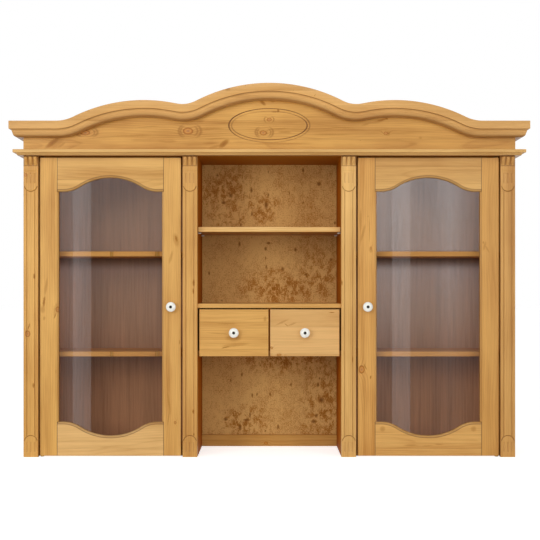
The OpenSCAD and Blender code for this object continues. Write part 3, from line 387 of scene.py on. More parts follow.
def brown_backing(tone="#b07a5d"):
    """Thin plywood stained brown, with fine upright grain, painted light near the top, the left end
    and the foot, and a painted shadow under the upper shelf."""
    material, add, shader = finish_of("brown_stained_plywood")
    place = add("TexCoord")["Object"]
    # Grain 7 mm wide and 0.2 m long, in a figure 26 mm wide and 0.6 m long
    grain = clouded(add, place, (150, 150, 4.5), Detail=3.0, Roughness=0.6)[0]
    figure = clouded(add, place, (38, 38, 1.6), Detail=3.0)[0]
    level = add("Math MULTIPLY_ADD", (grain, 1.0, -0.5))[0]
    level = add("Math MULTIPLY_ADD", (figure, 0.9, level))[0]
    colour = add("ValToRGB", (level,), ((0.2, shaded(tone, 1.14)), (0.45, tone),
                                        (0.75, shaded(tone, 0.78, 0.1))))[0]
    spot = add("SeparateXYZ", (place,))
    # Painted light: paler near the top, the left end and the foot
    paler = chained(add, "MAXIMUM", [
        add("MapRange", (spot[axis], start, full, 0.0, most))[0] for axis, start, full, most in (
            ("Z", 0.86, 1.05, 1.0), ("X", -0.64, -0.76, 0.6), ("Z", 0.34, 0.26, 0.7))])
    # Painted shadow under the upper shelf
    under = add("ValToRGB", (spot["Z"],), (
        (0.6605, "#ffffff"), (0.687, "#e1e1e1"), (0.702, "#c8c8c8"), (0.7097, "#afafaf"),
        (0.712, "#ffffff")))[0]
    for amount, tint in ((paler, (1.38, 1.24, 1.1, 1)), (1.0, under)):
        colour = add("Mix", {0: amount, 6: colour, 7: tint}, data_type="RGBA",
                     blend_type="MULTIPLY")[2]
    feed(shader, {
        "Base Color": colour, "Roughness": add("Math MULTIPLY_ADD", (grain, 0.2, 0.42))[0],
        "Normal": add("Bump", {"Height": grain, "Strength": 0.2, "Distance": 0.0002})[0],
        "Specular IOR Level": 0.1})
    return material


def glazed_porcelain():
    """White porcelain under a clear glaze: warm white, mirror-like gloss, faint grey specks."""
    material, add, shader = finish_of("glazed_porcelain")
    place = add("TexCoord")["Object"]
    # Clouds of 12 mm in the glaze, and specks 2.4 mm apart
    cloud = add("TexNoise", {"Vector": place, "Scale": 85.0, "Detail": 2.0})[0]
    speck = add("TexVoronoi", {"Vector": place, "Scale": 420.0})[0]
    base = add("ValToRGB", (cloud,), ((0.35, "#fbfaf6"), (0.65, "#f4f1ea")))[0]
    # Painted shade: the recess round the screw is near black
    deep = add("Attribute", attribute_name="hollow")["Fac"]
    feed(shader, {
        "Base Color": coated(add, base, [
            (speck, ((0.0, "#b9aa94", 0.5), (0.10, "#d8ccb8", 0.0))), (deep, "#2c2622")]),
        "Roughness": add("Math MULTIPLY_ADD", (cloud, 0.06, 0.10))[0],
        "IOR": 1.52, "Coat Weight": 0.5, "Coat Roughness": 0.04})
    return material


def plain_metal(name, light, dark, rough, scale):
    """Metal whose plating or oxide is uneven: two tones in clouds of 3 to 6 mm, as many to a
    metre as scale says, and rougher where it is dark."""
    material, add, shader = finish_of(name)
    cloud = add("TexNoise", {"Vector": add("TexCoord")["Object"], "Scale": scale, "Detail": 3.0,
                             "Roughness": 0.6})[0]
    feed(shader, {
        "Base Color": add("ValToRGB", (cloud,), ((0.38, light), (0.62, dark)))[0],
        "Roughness": add("Math MULTIPLY_ADD", (cloud, 0.3, rough - 0.15))[0],
        "Normal": add("Bump", {"Height": cloud, "Strength": 0.15, "Distance": 0.0001})[0],
        "Metallic": 1.0})
    return material


def moulded_plastic(name, light, dark):
    """Moulded ABS with a spark-eroded grain, drawn 1 mm wide, coarser than real, to show."""
    material, add, shader = finish_of(name)
    grit = add("TexNoise", {"Vector": add("TexCoord")["Object"], "Scale": 900.0})[0]
    feed(shader, {
        "Base Color": add("ValToRGB", (grit,), ((0.3, light), (0.7, dark)))[0],
        "Normal": add("Bump", {"Height": grit, "Strength": 0.2, "Distance": 0.0001})[0],
        "Roughness": 0.45})
    return material


def float_glass():
    """4 mm float glass: clear, faintly green, uneven over 0.14 m; rays from lamps go through."""
    material, add, shader = finish_of("float_glass")
    smear = add("TexNoise", {"Vector": add("TexCoord")["Object"], "Scale": 7.0,
                             "Detail": 3.0})[0]
    feed(shader, {
        "Base Color": add("ValToRGB", (smear,), ((0.4, "#f6faf7"), (0.7, "#eff5f1")))[0],
        "Roughness": 0.0, "IOR": 1.52, "Transmission Weight": 1.0})
    ray = add("LightPath")
    soft = add("Math MAXIMUM", (ray["Is Shadow Ray"], ray["Is Diffuse Ray"]))[0]
    clear = add("BsdfTransparent", {"Color": linear("#f3f8f5")})[0]
    surface(material, add("MixShader", (soft, shader.outputs[0], clear)))
    return material


# Meshes

def placed(name, data, location=(0, 0, 0), rotation=(0, 0, 0)):
    """Puts an object in the scene."""
    made = bpy.data.objects.new(name, data)
    made.location = location
    made.rotation_euler = rotation
    bpy.context.scene.collection.objects.link(made)
    return made


def link_piece(name, mesh, cad_nodes, material, soft_angle=32):
    """Puts a mesh in the scene as a piece that rides on its CAD body and replaces its nodes."""
    mesh.validate()
    mesh.update()
    mesh.shade_smooth()
    mesh.set_sharp_from_angle(angle=math.radians(soft_angle))
    piece = placed(name, mesh)
    mesh.materials.append(material)
    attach(piece, body_of[cad_nodes[0]])
    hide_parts(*cad_nodes)
    return piece


def grid_faces(rows, cols, closed=False):
    """Quads of a grid of closed rings: cell (i, j) goes to ring i + 1 and to place j + 1. In a
    closed grid the last ring also meets the first."""
    i, j = np.meshgrid(np.arange(rows if closed else rows - 1), np.arange(cols), indexing="ij")
    up, beside = (i + 1) % rows, (j + 1) % cols
    return np.stack([i * cols + j, i * cols + beside, up * cols + beside, up * cols + j],
                    -1).reshape(-1, 4)


def solid_mesh(name, points, faces, hollow):
    """Mesh whose faces look outwards, with its hollows' stain and painted shade at each point."""
    mesh = bpy.data.meshes.new(name)
    mesh.from_pydata(points, [], faces)
    shape = bmesh.new()
    shape.from_mesh(mesh)
    bmesh.ops.recalc_face_normals(shape, faces=shape.faces)
    shape.to_mesh(mesh)
    shape.free()
    mesh.attributes.new("hollow", "FLOAT", "POINT").data.foreach_set(
        "value", hollow.astype(np.float32))
    return mesh


def ring_mesh(name, bodies, hollow):
    """Mesh of closed bodies, each a grid points[i, j] whose row i is a closed ring, with a cap
    on the first and the last ring."""
    faces, start = [], 0
    for points in bodies:
        rows, cols = points.shape[:2]
        faces += (grid_faces(rows, cols) + start).tolist()
        faces.append((np.arange(cols)[::-1] + start).tolist())
        faces.append((np.arange(cols) + (rows - 1) * cols + start).tolist())
        start += rows * cols
    return solid_mesh(name, np.concatenate([p.reshape(-1, 3) for p in bodies]), faces,
                      np.concatenate([h.reshape(-1) for h in hollow]))


def arc(x0, y0, r, a0, a1, n):
    """Points of a circle about (x0, y0) from angle a0 to a1 in degrees."""
    a = np.radians(np.linspace(a0, a1, n))
    return np.stack([x0 + r * np.cos(a), y0 + r * np.sin(a)], -1)


def planed(cad_node, material, width):
    """A board with its arrises taken off by fine paper: the CAD board merged, its flat faces
    made whole, and every sharp edge given a round of the given width."""
    mesh = nodes[cad_node].data.copy()
    mesh.name = cad_node + "_planed"
    shape = bmesh.new()
    shape.from_mesh(mesh)
    bmesh.ops.remove_doubles(shape, verts=shape.verts, dist=2e-6)
    bmesh.ops.dissolve_limit(shape, angle_limit=math.radians(0.6), verts=shape.verts,
                             edges=shape.edges)
    shape.to_mesh(mesh)
    shape.free()
    mesh.materials.clear()
    if "custom_normal" in mesh.attributes:
        mesh.attributes.remove(mesh.attributes["custom_normal"])
    piece = link_piece(cad_node + "_board", mesh, [cad_node], material)
    if width:
        soft = piece.modifiers.new("eased", "BEVEL")
        soft.width = width
        soft.segments = 2
        soft.limit_method = "ANGLE"
        soft.angle_limit = math.radians(40)
        soft.harden_normals = False


def revolved(name, profile, centre, cad_node, material, around=72):
    """A turned piece: radius and height of the profile carried round the axis, which runs
    towards the front (-Y) from centre. The first and last profile points close the bore. Its
    recess round the screw, inside a radius of 5.3 mm, gets painted shade."""
    t = np.linspace(0, 2 * np.pi, around, endpoint=False)
    r, h = np.array(profile).T
    points = np.stack([centre[0] + r[None, :] * np.cos(t)[:, None],
                       centre[1] - h[None, :] + 0 * t[:, None],
                       centre[2] + r[None, :] * np.sin(t)[:, None]], -1)
    deep = np.clip((0.0053 - r) / 0.0004, 0, 1) * (h > 0.02)
    mesh = solid_mesh(name, points.reshape(-1, 3), grid_faces(around, len(r), True).tolist(),
                      np.tile(deep, around))
    link_piece(name, mesh, [cad_node], material, soft_angle=38)


# Camera, light and stage

camera_data = bpy.data.cameras.new("camera")
camera_data.lens = 75.65
camera_data.sensor_width = 36
camera_data.shift_x = 0.0012
camera_data.shift_y = 0.0333
bpy.context.scene.camera = placed("camera", camera_data, (0, -4.1285, 0.5962),
                                  (math.radians(90), 0, 0))
bpy.context.scene.view_settings.view_transform = "Standard"

# Square studio lamps: place, height on the cabinet that they face, size and watts
for name, place, aim_z, size, watts in (("key_lamp", (-3.05, -4.3, 1.42), 0.55, 1.8, 80),
                                        ("top_lamp", (-0.2, -4.4, 3.3), 0.6, 2.4, 56),
                                        ("fill_lamp", (3.0, -4.3, 1.25), 0.5, 1.8, 50)):
    lamp = bpy.data.lights.new(name, "AREA")
    lamp.shape = "SQUARE"
    lamp.size = size
    lamp.energy = watts
    lamp.color = linear("#fbfffb")[:3]
    aim = np.array((0, 0, aim_z)) - np.array(place)
    placed(name, lamp, place, (math.atan2(math.hypot(aim[0], aim[1]), -aim[2]), 0,
                               math.atan2(aim[1], aim[0]) - math.pi / 2))


def looked_at(add):
    """1 for the rays that show a thing, straight, mirrored or through glass, and 0 for others."""
    ray = add("LightPath")
    return chained(add, "MAXIMUM", [ray["Is Camera Ray"], ray["Is Glossy Ray"],
                                    ray["Is Transmission Ray"]])


# The world shows as white and lights with less than a third of that
world = bpy.data.worlds.new("white_room")
bpy.context.scene.world = world
world.use_nodes = True
add_sky = partial(node, world.node_tree)
feed(world.node_tree.nodes["Background"], {
    "Color": (1, 1, 1, 1), "Strength": add_sky("MapRange", (looked_at(add_sky), 0, 1, 0.31, 1))[0]})


def sheet_of(name, corners, material):
    """A flat stage piece between four corners."""
    mesh = bpy.data.meshes.new(name)
    mesh.from_pydata(corners, [], [(0, 1, 2, 3)])
    mesh.materials.append(material)
    piece = placed(name, mesh)
    return piece


def white_floor():
    """Matt white floor: mostly lit by itself for what looks at it, so it runs into the white
    background, and keeps a pale shadow of the cabinet."""
    material, add, shader = finish_of("matt_white_floor")
    feed(shader, {"Base Color": linear("#f4f4f4"), "Roughness": 0.9})
    amount = add("Math MULTIPLY", (looked_at(add), 0.66))[0]
    glow = add("Emission", {"Color": (1, 1, 1, 1), "Strength": amount})[0]
    surface(material, add("AddShader", (shader.outputs[0], glow)))
    return material


floor = sheet_of("floor", [(-30, -30, 0), (30, -30, 0), (30, 30, 0), (-30, 30, 0)],
                 white_floor())
floor.visible_glossy = False
floor.visible_transmission = False

# The painted reflection, in metres: its light over the height, with a dark bar, and over the width
REFLECTION_LIGHT_HEIGHT = ((-0.3, "#585858"), (0.082, "#6c6c6c"), (0.511, "#b0b0b0"), (0.718, "#c6c6c6"),
               (0.739, "#b8b8b8"), (0.768, "#767676"), (0.797, "#303030"), (0.855, "#303030"),
               (0.864, "#d1d1d1"), (1.26, "#e7e7e7"), (1.45, "#f0f0f0"))
REFLECTION_LIGHT_WIDTH = ((-1.56, "#000000"), (-1.52, "#868686"), (-0.74, "#868686"), (-0.70, "#000000"),
              (0.70, "#000000"), (0.74, "#d7d7d7"), (0.812, "#d7d7d7"), (1.026, "#cccccc"),
              (1.148, "#c5c5c5"), (1.291, "#e2e2e2"), (1.419, "#b7b7b7"), (1.462, "#a6a6a6"),
              (1.53, "#9a9a9a"), (1.56, "#000000"))


def painted_reflection_card():
    """Painted reflection for the door glass: a card that glows, though it is no lamp, with on the
    left a dim room and on the right a bright wall, both paler towards the ceiling, a dark bar
    across both that the glass shows over the shade under the upper shelf, and two strip lamps on
    stands, one of them with a soft glow round it. Only rays that a surface has mirrored see it."""
    material, add, _ = finish_of("painted_room_reflection")
    x, _, z = add("SeparateXYZ", (add("TexCoord")["Object"],))
    low, high = REFLECTION_LIGHT_HEIGHT[0][0], 1.5
    height = add("MapRange", (z, low, high))[0]
    height = add("ValToRGB", (height,), [((at - low) / (high - low), code)
                                         for at, code in REFLECTION_LIGHT_HEIGHT])[0]
    width = add("MapRange", (x, -2.0, 2.0))[0]
    wall = add("ValToRGB", (width,), [((at + 2) / 4, code) for at, code in REFLECTION_LIGHT_WIDTH])[0]
    wall = add("Math MULTIPLY", (wall, 5.0))[0]
    wall = add("Math MULTIPLY", (wall, height))[0]
    off = add("Math ABSOLUTE", (add("Math ADD", (x, 1.40))[0],))[0]
    halo = add("MapRange", (off, 0.0, 0.14, 0.45, 0.0), interpolation_type="SMOOTHSTEP")[0]
    light = add("Math ADD", (halo, wall))[0]
    for spot in (-1.340, 0.943):
        strip = add("Math COMPARE", (x, spot, 0.065))[0]
        light = add("Math MULTIPLY_ADD", (strip, 0.65, light))[0]
    light = add("Math MULTIPLY", (add("Math LESS_THAN", (z, 1.45))[0], light))[0]
    glow = add("Emission", {"Color": linear("#fbf8fc"), "Strength": light})[0]
    mirrored = add("Math GREATER_THAN", (add("LightPath")["Glossy Depth"], 0.5))[0]
    surface(material, add("MixShader", (mirrored, add("BsdfTransparent")[0], glow)))
    return material


card = sheet_of("painted_reflection_card", [(-3, -4.2, -1.6), (3, -4.2, -1.6), (3, -4.2, 4), (-3, -4.2, 4)],
                painted_reflection_card())
card.visible_camera = False
card.visible_diffuse = False
card.visible_shadow = False


# Boards and their wood

def middle(name):
    """Middle of a node's box."""
    low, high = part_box(name)
    return tuple((low + high) / 2)


# Stain and painted shade on a stile's moulded edge, from its step (place 0) to the glass (place 1)
EDGE_STAIN_AND_SHADE = ((0.0, "#7a4a18", 0.0), (0.10, "#7a4a18", 0.55), (0.25, "#a06a28", 0.25),
         (0.7, "#a06a28", 0.35), (1.0, "#6e3d10", 0.75))
# Painted light and shade on the partitions: lighter at the front, darker to the back
PARTITION_LIGHT_AND_SHADE = (("Y", -0.108, 0.165, ((0.0, "#b8782c", 0.45), (0.35, "#b8782c", 0.0),
                                (0.6, "#642c00", 0.0), (1.0, "#642c00", 0.55))),)


def moulded(inner, outer):
    """Stain and painted shade on a stile's moulded edge, which runs from inner to outer along X."""
    return (("X", inner, outer, EDGE_STAIN_AND_SHADE),)


def painted_shade(axis, low, high, code):
    """Painted shade, brown, on a face that light hardly reaches: full at low, none at high."""
    return ((axis, low, high, ((0.0, code, 1.0), (1.0, code, 0.0))),)


def gap_shade(edge):
    """Painted shade on the edge of a stile that looks at a pilaster across the door's gap."""
    into_stile = math.copysign(EASED, math.copysign(DOOR_X, edge) - edge)
    return painted_shade("X", edge, edge + into_stile, "#8a5520")


# Grain, face, tone and figure of every board; some tones and glazes are painted light and shade
BOARDS = {
    "side_panel_left": ("Z", "X", "#cf9f58", dict(seed=1.2, pith=(0.03, 0.12), strips=0.11,
        knots=((-50, 310, 8), (60, 780, 11), (120, 130, 6)))),
    "side_panel_right": ("Z", "X", "#cf9f58", dict(seed=4.7, pith=(-0.02, -0.11), strips=0.11,
        knots=((40, 520, 10), (-60, 910, 7), (110, 240, 8)))),
    # Painted shade: the partitions get a darker, redder tone than the pine outside
    "partition_left": ("Z", "X", "#a85c00", dict(seed=2.9, pith=(0.0, 0.1), lacquer=0,
        glaze=PARTITION_LIGHT_AND_SHADE)),
    "partition_right": ("Z", "X", "#a85c00", dict(seed=6.1, pith=(0.02, -0.1), lacquer=0,
        glaze=PARTITION_LIGHT_AND_SHADE)),
    # Painted shade on the top board's underside
    "top_board": ("X", "Z", "#c8945a", dict(seed=3.3, strips=0.12, lacquer=0,
        glaze=painted_shade("Z", 1.0622, 1.066, "#9c5e12"))),
    "bottom_boards": ("X", "Z", "#c8945a", dict(seed=5.3, strips=0.12, lacquer=0)),
    "frieze_sides": ("Y", "X", "#cf9f58", dict(seed=7.7)),
    "frieze_front": ("X", "Y", "#d09e51", dict(seed=0.6, pith=(-0.1, 0.12), contrast=1.3,
        oval=True, joints=((1120.5, 0.07),),
        # Painted shade: the frieze darker over its right part
        glaze=(("X", 0.08, 0.66, ((0.0, "#a06a2c", 0.0), (0.35, "#a06a2c", 0.16),
               (1.0, "#a06a2c", 0.12))),),
        knots=((1143.6, -648.8, 9.5, 18), (1149.4, -286.8, 12, 19), (1141.2, 410.9, 5.8, 7.8),
               (1143, -21, 8.5, 13), (1190, -0.5, 6, 8.5)),
        curls=((1149.4, -283, 20, 30), (1149.4, -280, 26, 39), (1144, -646, 15, 30),
               (1145, -643, 19, 37), (1144, -19, 17, 24), (1145, -18, 22, 31), (1190, -1, 12, 17)),
        smudges=((1108, -764, 10.5, 38, 36), (1105, -160, 12, 26, 38), (1221.5, 31, 8, 5.5, 0),
                 (1249, -23, 7.5, 16, -40), (1193, 413.3, 5, 7, 0), (1188, 396, 4.2, 22, 14),
                 (1141, 418, 3.4, 9, -20), (1115.8, 320.6, 1.6, 1.4, 0), (1217, 19, 1.6, 16, 0)),
        patches=((1156.7, -220, 6, 30, 0), (1146.1, 54, 5.5, 30, 0), (1184, 385, 8, 34, 14),
                 (1109, -752, 22, 36, 36), (1178, 355, 3.5, 30, 6), (1141.2, 418, 11, 11, 0),
                 (1125.7, 532.5, 5.5, 8, 0), (1172, 338, 4.5, 18, 12), (1104, 505, 3, 20, 0),
                 (1143, -21, 13, 24, 0), (1158, -200, 5, 50, 0), (1157, 36, 5, 45, 4),
                 (1122, -190, 3, 50, 3), (1100, -733, 6, 20, 34), (1183, -243, 5, 20, 8),
                 (1095, -190, 6, 30, 14), (1137, 220, 4, 80, 0), (1253, 12, 5, 10, 0),
                 (1162, 250, 3, 60, -3), (1133, -480, 4, 90, 0), (1164, -430, 3, 50, 4),
                 (1105, 50, 5, 120, 0)))),
    "glazed_bay_shelves": ("X", "Z", "#d59154", dict(seed=8.4, strips=0.11, lacquer=0,
        knots=((-68, -564, 4.5), (-68, -401, 6)))),
    # Painted shade on the centre shelf's underside
    "centre_shelf": ("X", "Z", "#ecc486", dict(seed=9.2, strips=0.12,
        glaze=painted_shade("Z", 0.7952, 0.7962, "#a0600f"))),
    "fixed_shelf": ("X", "Z", "#d5a55e", dict(seed=3.8, strips=0.12)),
    "drawer_floor": ("X", "Z", "#b98a50", dict(seed=1.9, lacquer=0)),
    "drawer_divider": ("Y", "X", "#a0682a", dict(seed=2.2, lacquer=0)),
    "back_rail": ("X", "Y", "#c99a5a", dict(seed=5.9, pith=(0.03, 0.07), lacquer=0,
        knots=((11, -12.6, 6),))),
    "glue_blocks": ("Z", "Y", "#c09254", dict(seed=4.1, lacquer=0)),
    "left_hinge_stile": ("Z", "Y", "#d5a458", dict(seed=1.5, pith=(0.075, 0.1), contrast=1.1,
        glaze=moulded(-0.7513, -0.744) + gap_shade(-0.812), knots=((-747.8, 520, 7.5, 10.5),),
        smudges=((-796.5, 548, 5, 24, 6), (-758, 497, 2.2, 12, 25)),
        patches=((-801, 520, 10, 16, 0), (-796, 489, 5.5, 9, 0), (-790, 600, 6, 40, 8),
                 (-755, 300, 2, 10, 0), (-756, 520, 8, 30, 10)))),
    "left_lock_stile": ("Z", "Y", "#d7a75f", dict(seed=2.6, pith=(-0.08, 0.09), contrast=1.0,
        glaze=moulded(-0.3727, -0.38) + gap_shade(-0.312), knots=((-333, 121, 4.5, 6),),
        smudges=((-329, 770, 5.5, 14, -12), (-317.4, 405, 1.8, 10, 0)),
        patches=((-330, 766, 13, 30, -12), (-355, 190, 5, 50, -8), (-356, 140, 3, 40, 10),
                 (-348, 705, 6, 30, 15)))),
    "right_hinge_stile": ("Z", "Y", "#cd9b53", dict(seed=3.4, pith=(0.08, 0.11), contrast=0.9,
        glaze=moulded(0.7513, 0.744) + gap_shade(0.812),
        smudges=((756, 757, 2.2, 5, 0), (813, 350, 1.5, 22, 0)),
        patches=((761, 745, 6, 20, 15), (770, 735, 4, 20, -30)))),
    "right_lock_stile": ("Z", "Y", "#d6a35a", dict(seed=7.3, pith=(-0.07, 0.09), contrast=1.1,
        glaze=moulded(0.3727, 0.38) + gap_shade(0.312),
        knots=((326.5, 308, 10.5, 15), (359, 736.9, 3.5, 5)),
        smudges=((358, 280, 3.5, 8, 8), (348.8, 849.7, 1.8, 2.8, 0), (339, 318, 2, 15, -28)),
        patches=((322, 835, 6, 50, 0), (331, 790, 6, 40, 14), (359, 732, 7, 14, 0),
                 (354, 800, 3, 55, 0)))),
    "left_glazing_beads": ("Z", "Y", "#b98a50", dict(seed=1.1, lacquer=0)),
    "right_glazing_beads": ("Z", "Y", "#b98a50", dict(seed=1.8, lacquer=0)),
    "left_drawer_front": ("X", "Y", "#dbab62", dict(seed=5.1, pith=(0.07, 0.06), contrast=0.9,
        joints=((380.5, 0.12), (476, -0.05)), smudges=((386.2, -154.7, 2.4, 19, 12),),
        # The first patch, under the knob, is the knob's painted shadow
        patches=((418.4, -127.5, 13, 34, 0), (486.6, -15, 12, 8, 0), (470, -150, 3.5, 45, 0),
                 (395, -120, 8, 60, 6), (435, -180, 2.5, 50, -4)))),
    "right_drawer_front": ("X", "Y", "#dcb074", dict(seed=6.6, pith=(-0.08, 0.09), contrast=0.8,
        joints=((363, -0.08), (416, -0.03), (458, 0.15)),
        knots=((384.8, 8, 5, 5.5), (360, 34.8, 3.8, 8.5)),
        smudges=((510, 220.8, 2.2, 13, 0), (466, 60, 1.8, 9, -35)),
        patches=((475, 45, 4, 30, 25), (468, 80, 4, 20, 20)))),
    "left_drawer_box": ("Y", "X", "#c69a5e", dict(seed=2.7, lacquer=0)),
    "right_drawer_box": ("Y", "X", "#c69a5e", dict(seed=3.7, lacquer=0)),
}

for board, (grain, face, tone, extra) in BOARDS.items():
    wood = pine(board + "_pine", grain, face, middle(board), tone, **extra)
    planed(board, wood, 0.0 if board == "frieze_front" else EASED)


# Crown: a section carried along the three-hump line, in millimetres

def circle_line():
    """The crown's top line from the middle to the right end as tangent arcs: crest, dip, hump
    and hollow. Each point comes with the direction down into the moulding: towards the arc's
    centre on a hump and away from it in a hollow."""
    crest_r, dip_r, hump_r, end_r = 0.558, 0.105, 0.554, 0.137
    crest = np.array([0.0, CROWN_END + 0.132 - crest_r])
    hump = np.array([0.438, CROWN_END + 0.072 - hump_r])
    ra, rb = crest_r + dip_r, hump_r + dip_r
    gap = hump - crest
    d = np.hypot(*gap)
    e = gap / d
    s = (ra ** 2 - rb ** 2 + d * d) / (2 * d)
    dip = crest + s * e + math.sqrt(ra ** 2 - s * s) * np.array([-e[1], e[0]])
    end_z = CROWN_END + end_r
    end = np.array([hump[0] + math.sqrt((end_r + hump_r) ** 2 - (end_z - hump[1]) ** 2), end_z])

    def turn(a, b):
        """Direction from one centre to the next, in degrees."""
        return math.degrees(math.atan2(b[1] - a[1], b[0] - a[0]))

    legs = ((crest, crest_r, 1, 90, turn(crest, dip)),
            (dip, dip_r, -1, turn(dip, crest), turn(dip, hump)),
            (hump, hump_r, 1, turn(hump, dip), turn(hump, end)),
            (end, end_r, -1, turn(end, hump), -90))
    places, downs = [], []
    for centre, r, sign, a0, a1 in legs:
        if sign < 0:
            a0, a1 = a0 % 360, a1 % 360
        n = max(4, int(abs(a1 - a0) * math.radians(1) * r / 0.006))
        a = np.radians(np.linspace(a0, a1, n + 1))
        ray = np.stack([np.cos(a), np.sin(a)], -1)
        first = 1 if places else 0
        places.append((centre + r * ray)[first:])
        downs.append((-sign * ray)[first:])
    straight = np.linspace(end[0], HALF_W, 8)[1:]
    places.append(np.stack([straight, np.full(7, CROWN_END)], -1))
    downs.append(np.tile([0.0, -1.0], (7, 1)))
    return np.concatenate(places), np.concatenate(downs)


def crown_section():
    """Closed section as distance out and depth below the top line, in metres: flat band with
    softened edges, small step, hollow, small step, round."""
    out, height, band, hollow_h, hollow_w, step = 43.0, 55.0, 28.0, 11.3, 8.5, 1.6
    hollow_out = out - step - hollow_w
    round_out = hollow_out - step
    round_r = height - band - hollow_h - step
    t = np.radians(np.linspace(6, 90, 15))
    cove = np.stack([hollow_out + hollow_w * (1 - np.sin(t)),
                     band + hollow_h * (1 - np.cos(t))], -1)
    bead = np.stack([round_out - round_r * (1 - np.cos(t)),
                     height - round_r + round_r * np.sin(t)], -1)
    return np.concatenate([
        [[0, 0]], arc(out - 1.2, 1.2, 1.2, -90, 0, 5), arc(out - 0.8, band - 0.8, 0.8, 0, 90, 4),
        [[out - step, band]], cove, [[round_out, height - round_r]], bead, [[0, height]]]) / 1000


def crown_hollow(section):
    """How much painted shade, with some stain, each section point gets: a line in the step under
    the band, less on the hollow's shoulder, and most at the foot."""
    out, depth = section[:, 0] * 1000, section[:, 1] * 1000
    under_band = out < 42.2
    line = 0.9 * np.exp(-((depth - 28.6) / 1.2) ** 2) * under_band
    shoulder = 0.34 * np.exp(-((depth - 31.0) / 2.6) ** 2) * under_band
    foot = np.interp(depth, [35.0, 42.0, 47.5, 51.5, 55.0], [0.10, 0.26, 0.5, 0.9, 0.7])
    return np.maximum.reduce([line, shoulder, foot])


def front_crown(material):
    """Crown moulding over the front. A point is a place on the top line, moved down by its depth
    in the section and to the front by its distance out. Both ends are mitred at 45 degrees:
    there the moulding runs on by that same distance."""
    places, downs = (np.concatenate([half[::-1] * [-1, 1], half[1:]]) for half in circle_line())
    section = crown_section()
    out, depth = section[:, 0], section[:, 1]
    x = places[:, 0, None] + depth * downs[:, 0, None]
    z = places[:, 1, None] + depth * downs[:, 1, None]
    y = np.broadcast_to(FRONT - out, x.shape)
    x[0] -= out
    x[-1] += out
    stain_and_shade = np.broadcast_to(crown_hollow(section), x.shape)
    mesh = ring_mesh("crown_front", [np.stack([x, y, z], -1)], [stain_and_shade])
    link_piece("crown_front_moulding", mesh, ["crown_front"], material)


def side_returns(name, section, sign_up, top, stain_and_shade, cad_node, material):
    """Straight mouldings along both sides: the section carried along Y from the mitre, which
    starts as far before the front as the section stands out, to the back."""
    out, depth = section[:, 0], section[:, 1]
    bodies = [np.stack([np.stack([s * (HALF_W + out), y, top + sign_up * depth], -1)
                        for y in (FRONT - out, np.zeros_like(out), np.full_like(out, BACK))])
              for s in (-1, 1)]
    mesh = ring_mesh(name, bodies, [np.broadcast_to(stain_and_shade, (3, len(out)))] * 2)
    link_piece(name, mesh, [cad_node], material)


# Painted shade that darkens both ends of the crown
CROWN_END_SHADE = ((0.0, "#9c6a2c", 0.16), (0.12, "#9c6a2c", 0.14), (0.28, "#9c6a2c", 0.0),
              (0.72, "#9c6a2c", 0.0), (0.88, "#9c6a2c", 0.20), (1.0, "#9c6a2c", 0.22))
crown_pine = pine("crown_pine", "X", "Y", (0, FRONT - 0.04, 1.2), "#dcab68", seed=2.0,
                  pith=(-0.12, 0.07), strips=0.052, strip_tone=0.07,
                  smudges=((1301.6, -84, 1.5, 1.5, 0), (1286, 83.6, 1.5, 1.5, 0),
                           (1268, 158.5, 1.4, 5, 40), (1292, -144, 3.6, 10, 12)),
                  patches=((1288, -145, 7, 12, 0),), glaze=(("X", -0.91, 0.91, CROWN_END_SHADE),))
return_pine = pine("crown_return_pine", "Y", "X", (0.9, 0, 1.15), "#d0a062", seed=8.0)
front_crown(crown_pine)
crown = crown_section()
side_returns("crown_return_mouldings", crown, -1, CROWN_END, crown_hollow(crown),
             "crown_returns", return_pine)


def waist_section():
    """Closed section as distance out and height, in metres: cove below, upright edge above."""
    out, top, edge_h, cove_w, step, ease = 31.5, 20.0, 11.0, 12.0, 1.5, 1.5
    cove_h = top - edge_h
    foot = out - step - cove_w
    t = np.radians(np.linspace(0, 90, 14))
    cove = np.stack([foot + cove_w * (1 - np.cos(t)), cove_h * np.sin(t)], -1)
    return np.concatenate([[[0, 0], [foot - 0.01, 0]], cove[1:], [[out - 0.3, cove_h]],
                           [[out, cove_h + 0.3]], arc(out - ease, top - ease, ease, 0, 90, 6),
                           [[0, top]]]) / 1000


def waist_moulding(material, side_material, stations=15):
    """Front strip, which runs on by its distance out at the mitre of each end, and the two side
    returns. Painted shade, with some stain, lies at the foot of the cove and on the lower half of
    the edge."""
    section = waist_section()
    out, up = section[:, 0], section[:, 1]
    # Painted shade, with some stain: darkest at the foot, some on the lower half of the edge
    stain_and_shade = np.interp(up * 1000, [0, 1, 3, 6, 9.2, 9.4, 15, 20],
                      [1.1, 0.7, 0.35, 0.1, 0.0, 0.25, 0.12, 0.0]) * (out > 0.001)
    rows = []
    for place in np.linspace(-1, 1, stations):
        x = place * (HALF_W + (out if abs(place) == 1 else 0))
        rows.append(np.stack([np.broadcast_to(x, out.shape), FRONT - out, CASE_H + up], -1))
    mesh = ring_mesh("waist_moulding_front", [np.array(rows)],
                     [np.broadcast_to(stain_and_shade, (stations, len(out)))])
    link_piece("waist_front_moulding", mesh, ["waist_moulding_front"], material)
    side_returns("waist_return_mouldings", section, 1, CASE_H, stain_and_shade,
                 "waist_moulding_returns", side_material)


waist_moulding(pine("waist_pine", "X", "Y", (0, FRONT, 1.072), "#d9ae6c", seed=3.1,
                    pith=(0.02, 0.05)),
               pine("waist_return_pine", "Y", "X", (0.9, 0, 1.072), "#d0a062", seed=9.0))


# Pilasters: a carved relief over the front, in millimetres from the pilaster's middle

BELOW = -99.0   # height that counts as no reed and no wedge


def groove(distance, half=1.7, depth=2.4):
    """Depth of a V groove with a rounded bottom at a distance from its line."""
    return depth * np.clip(1 - np.abs(distance) / half, 0, 1) ** 0.85


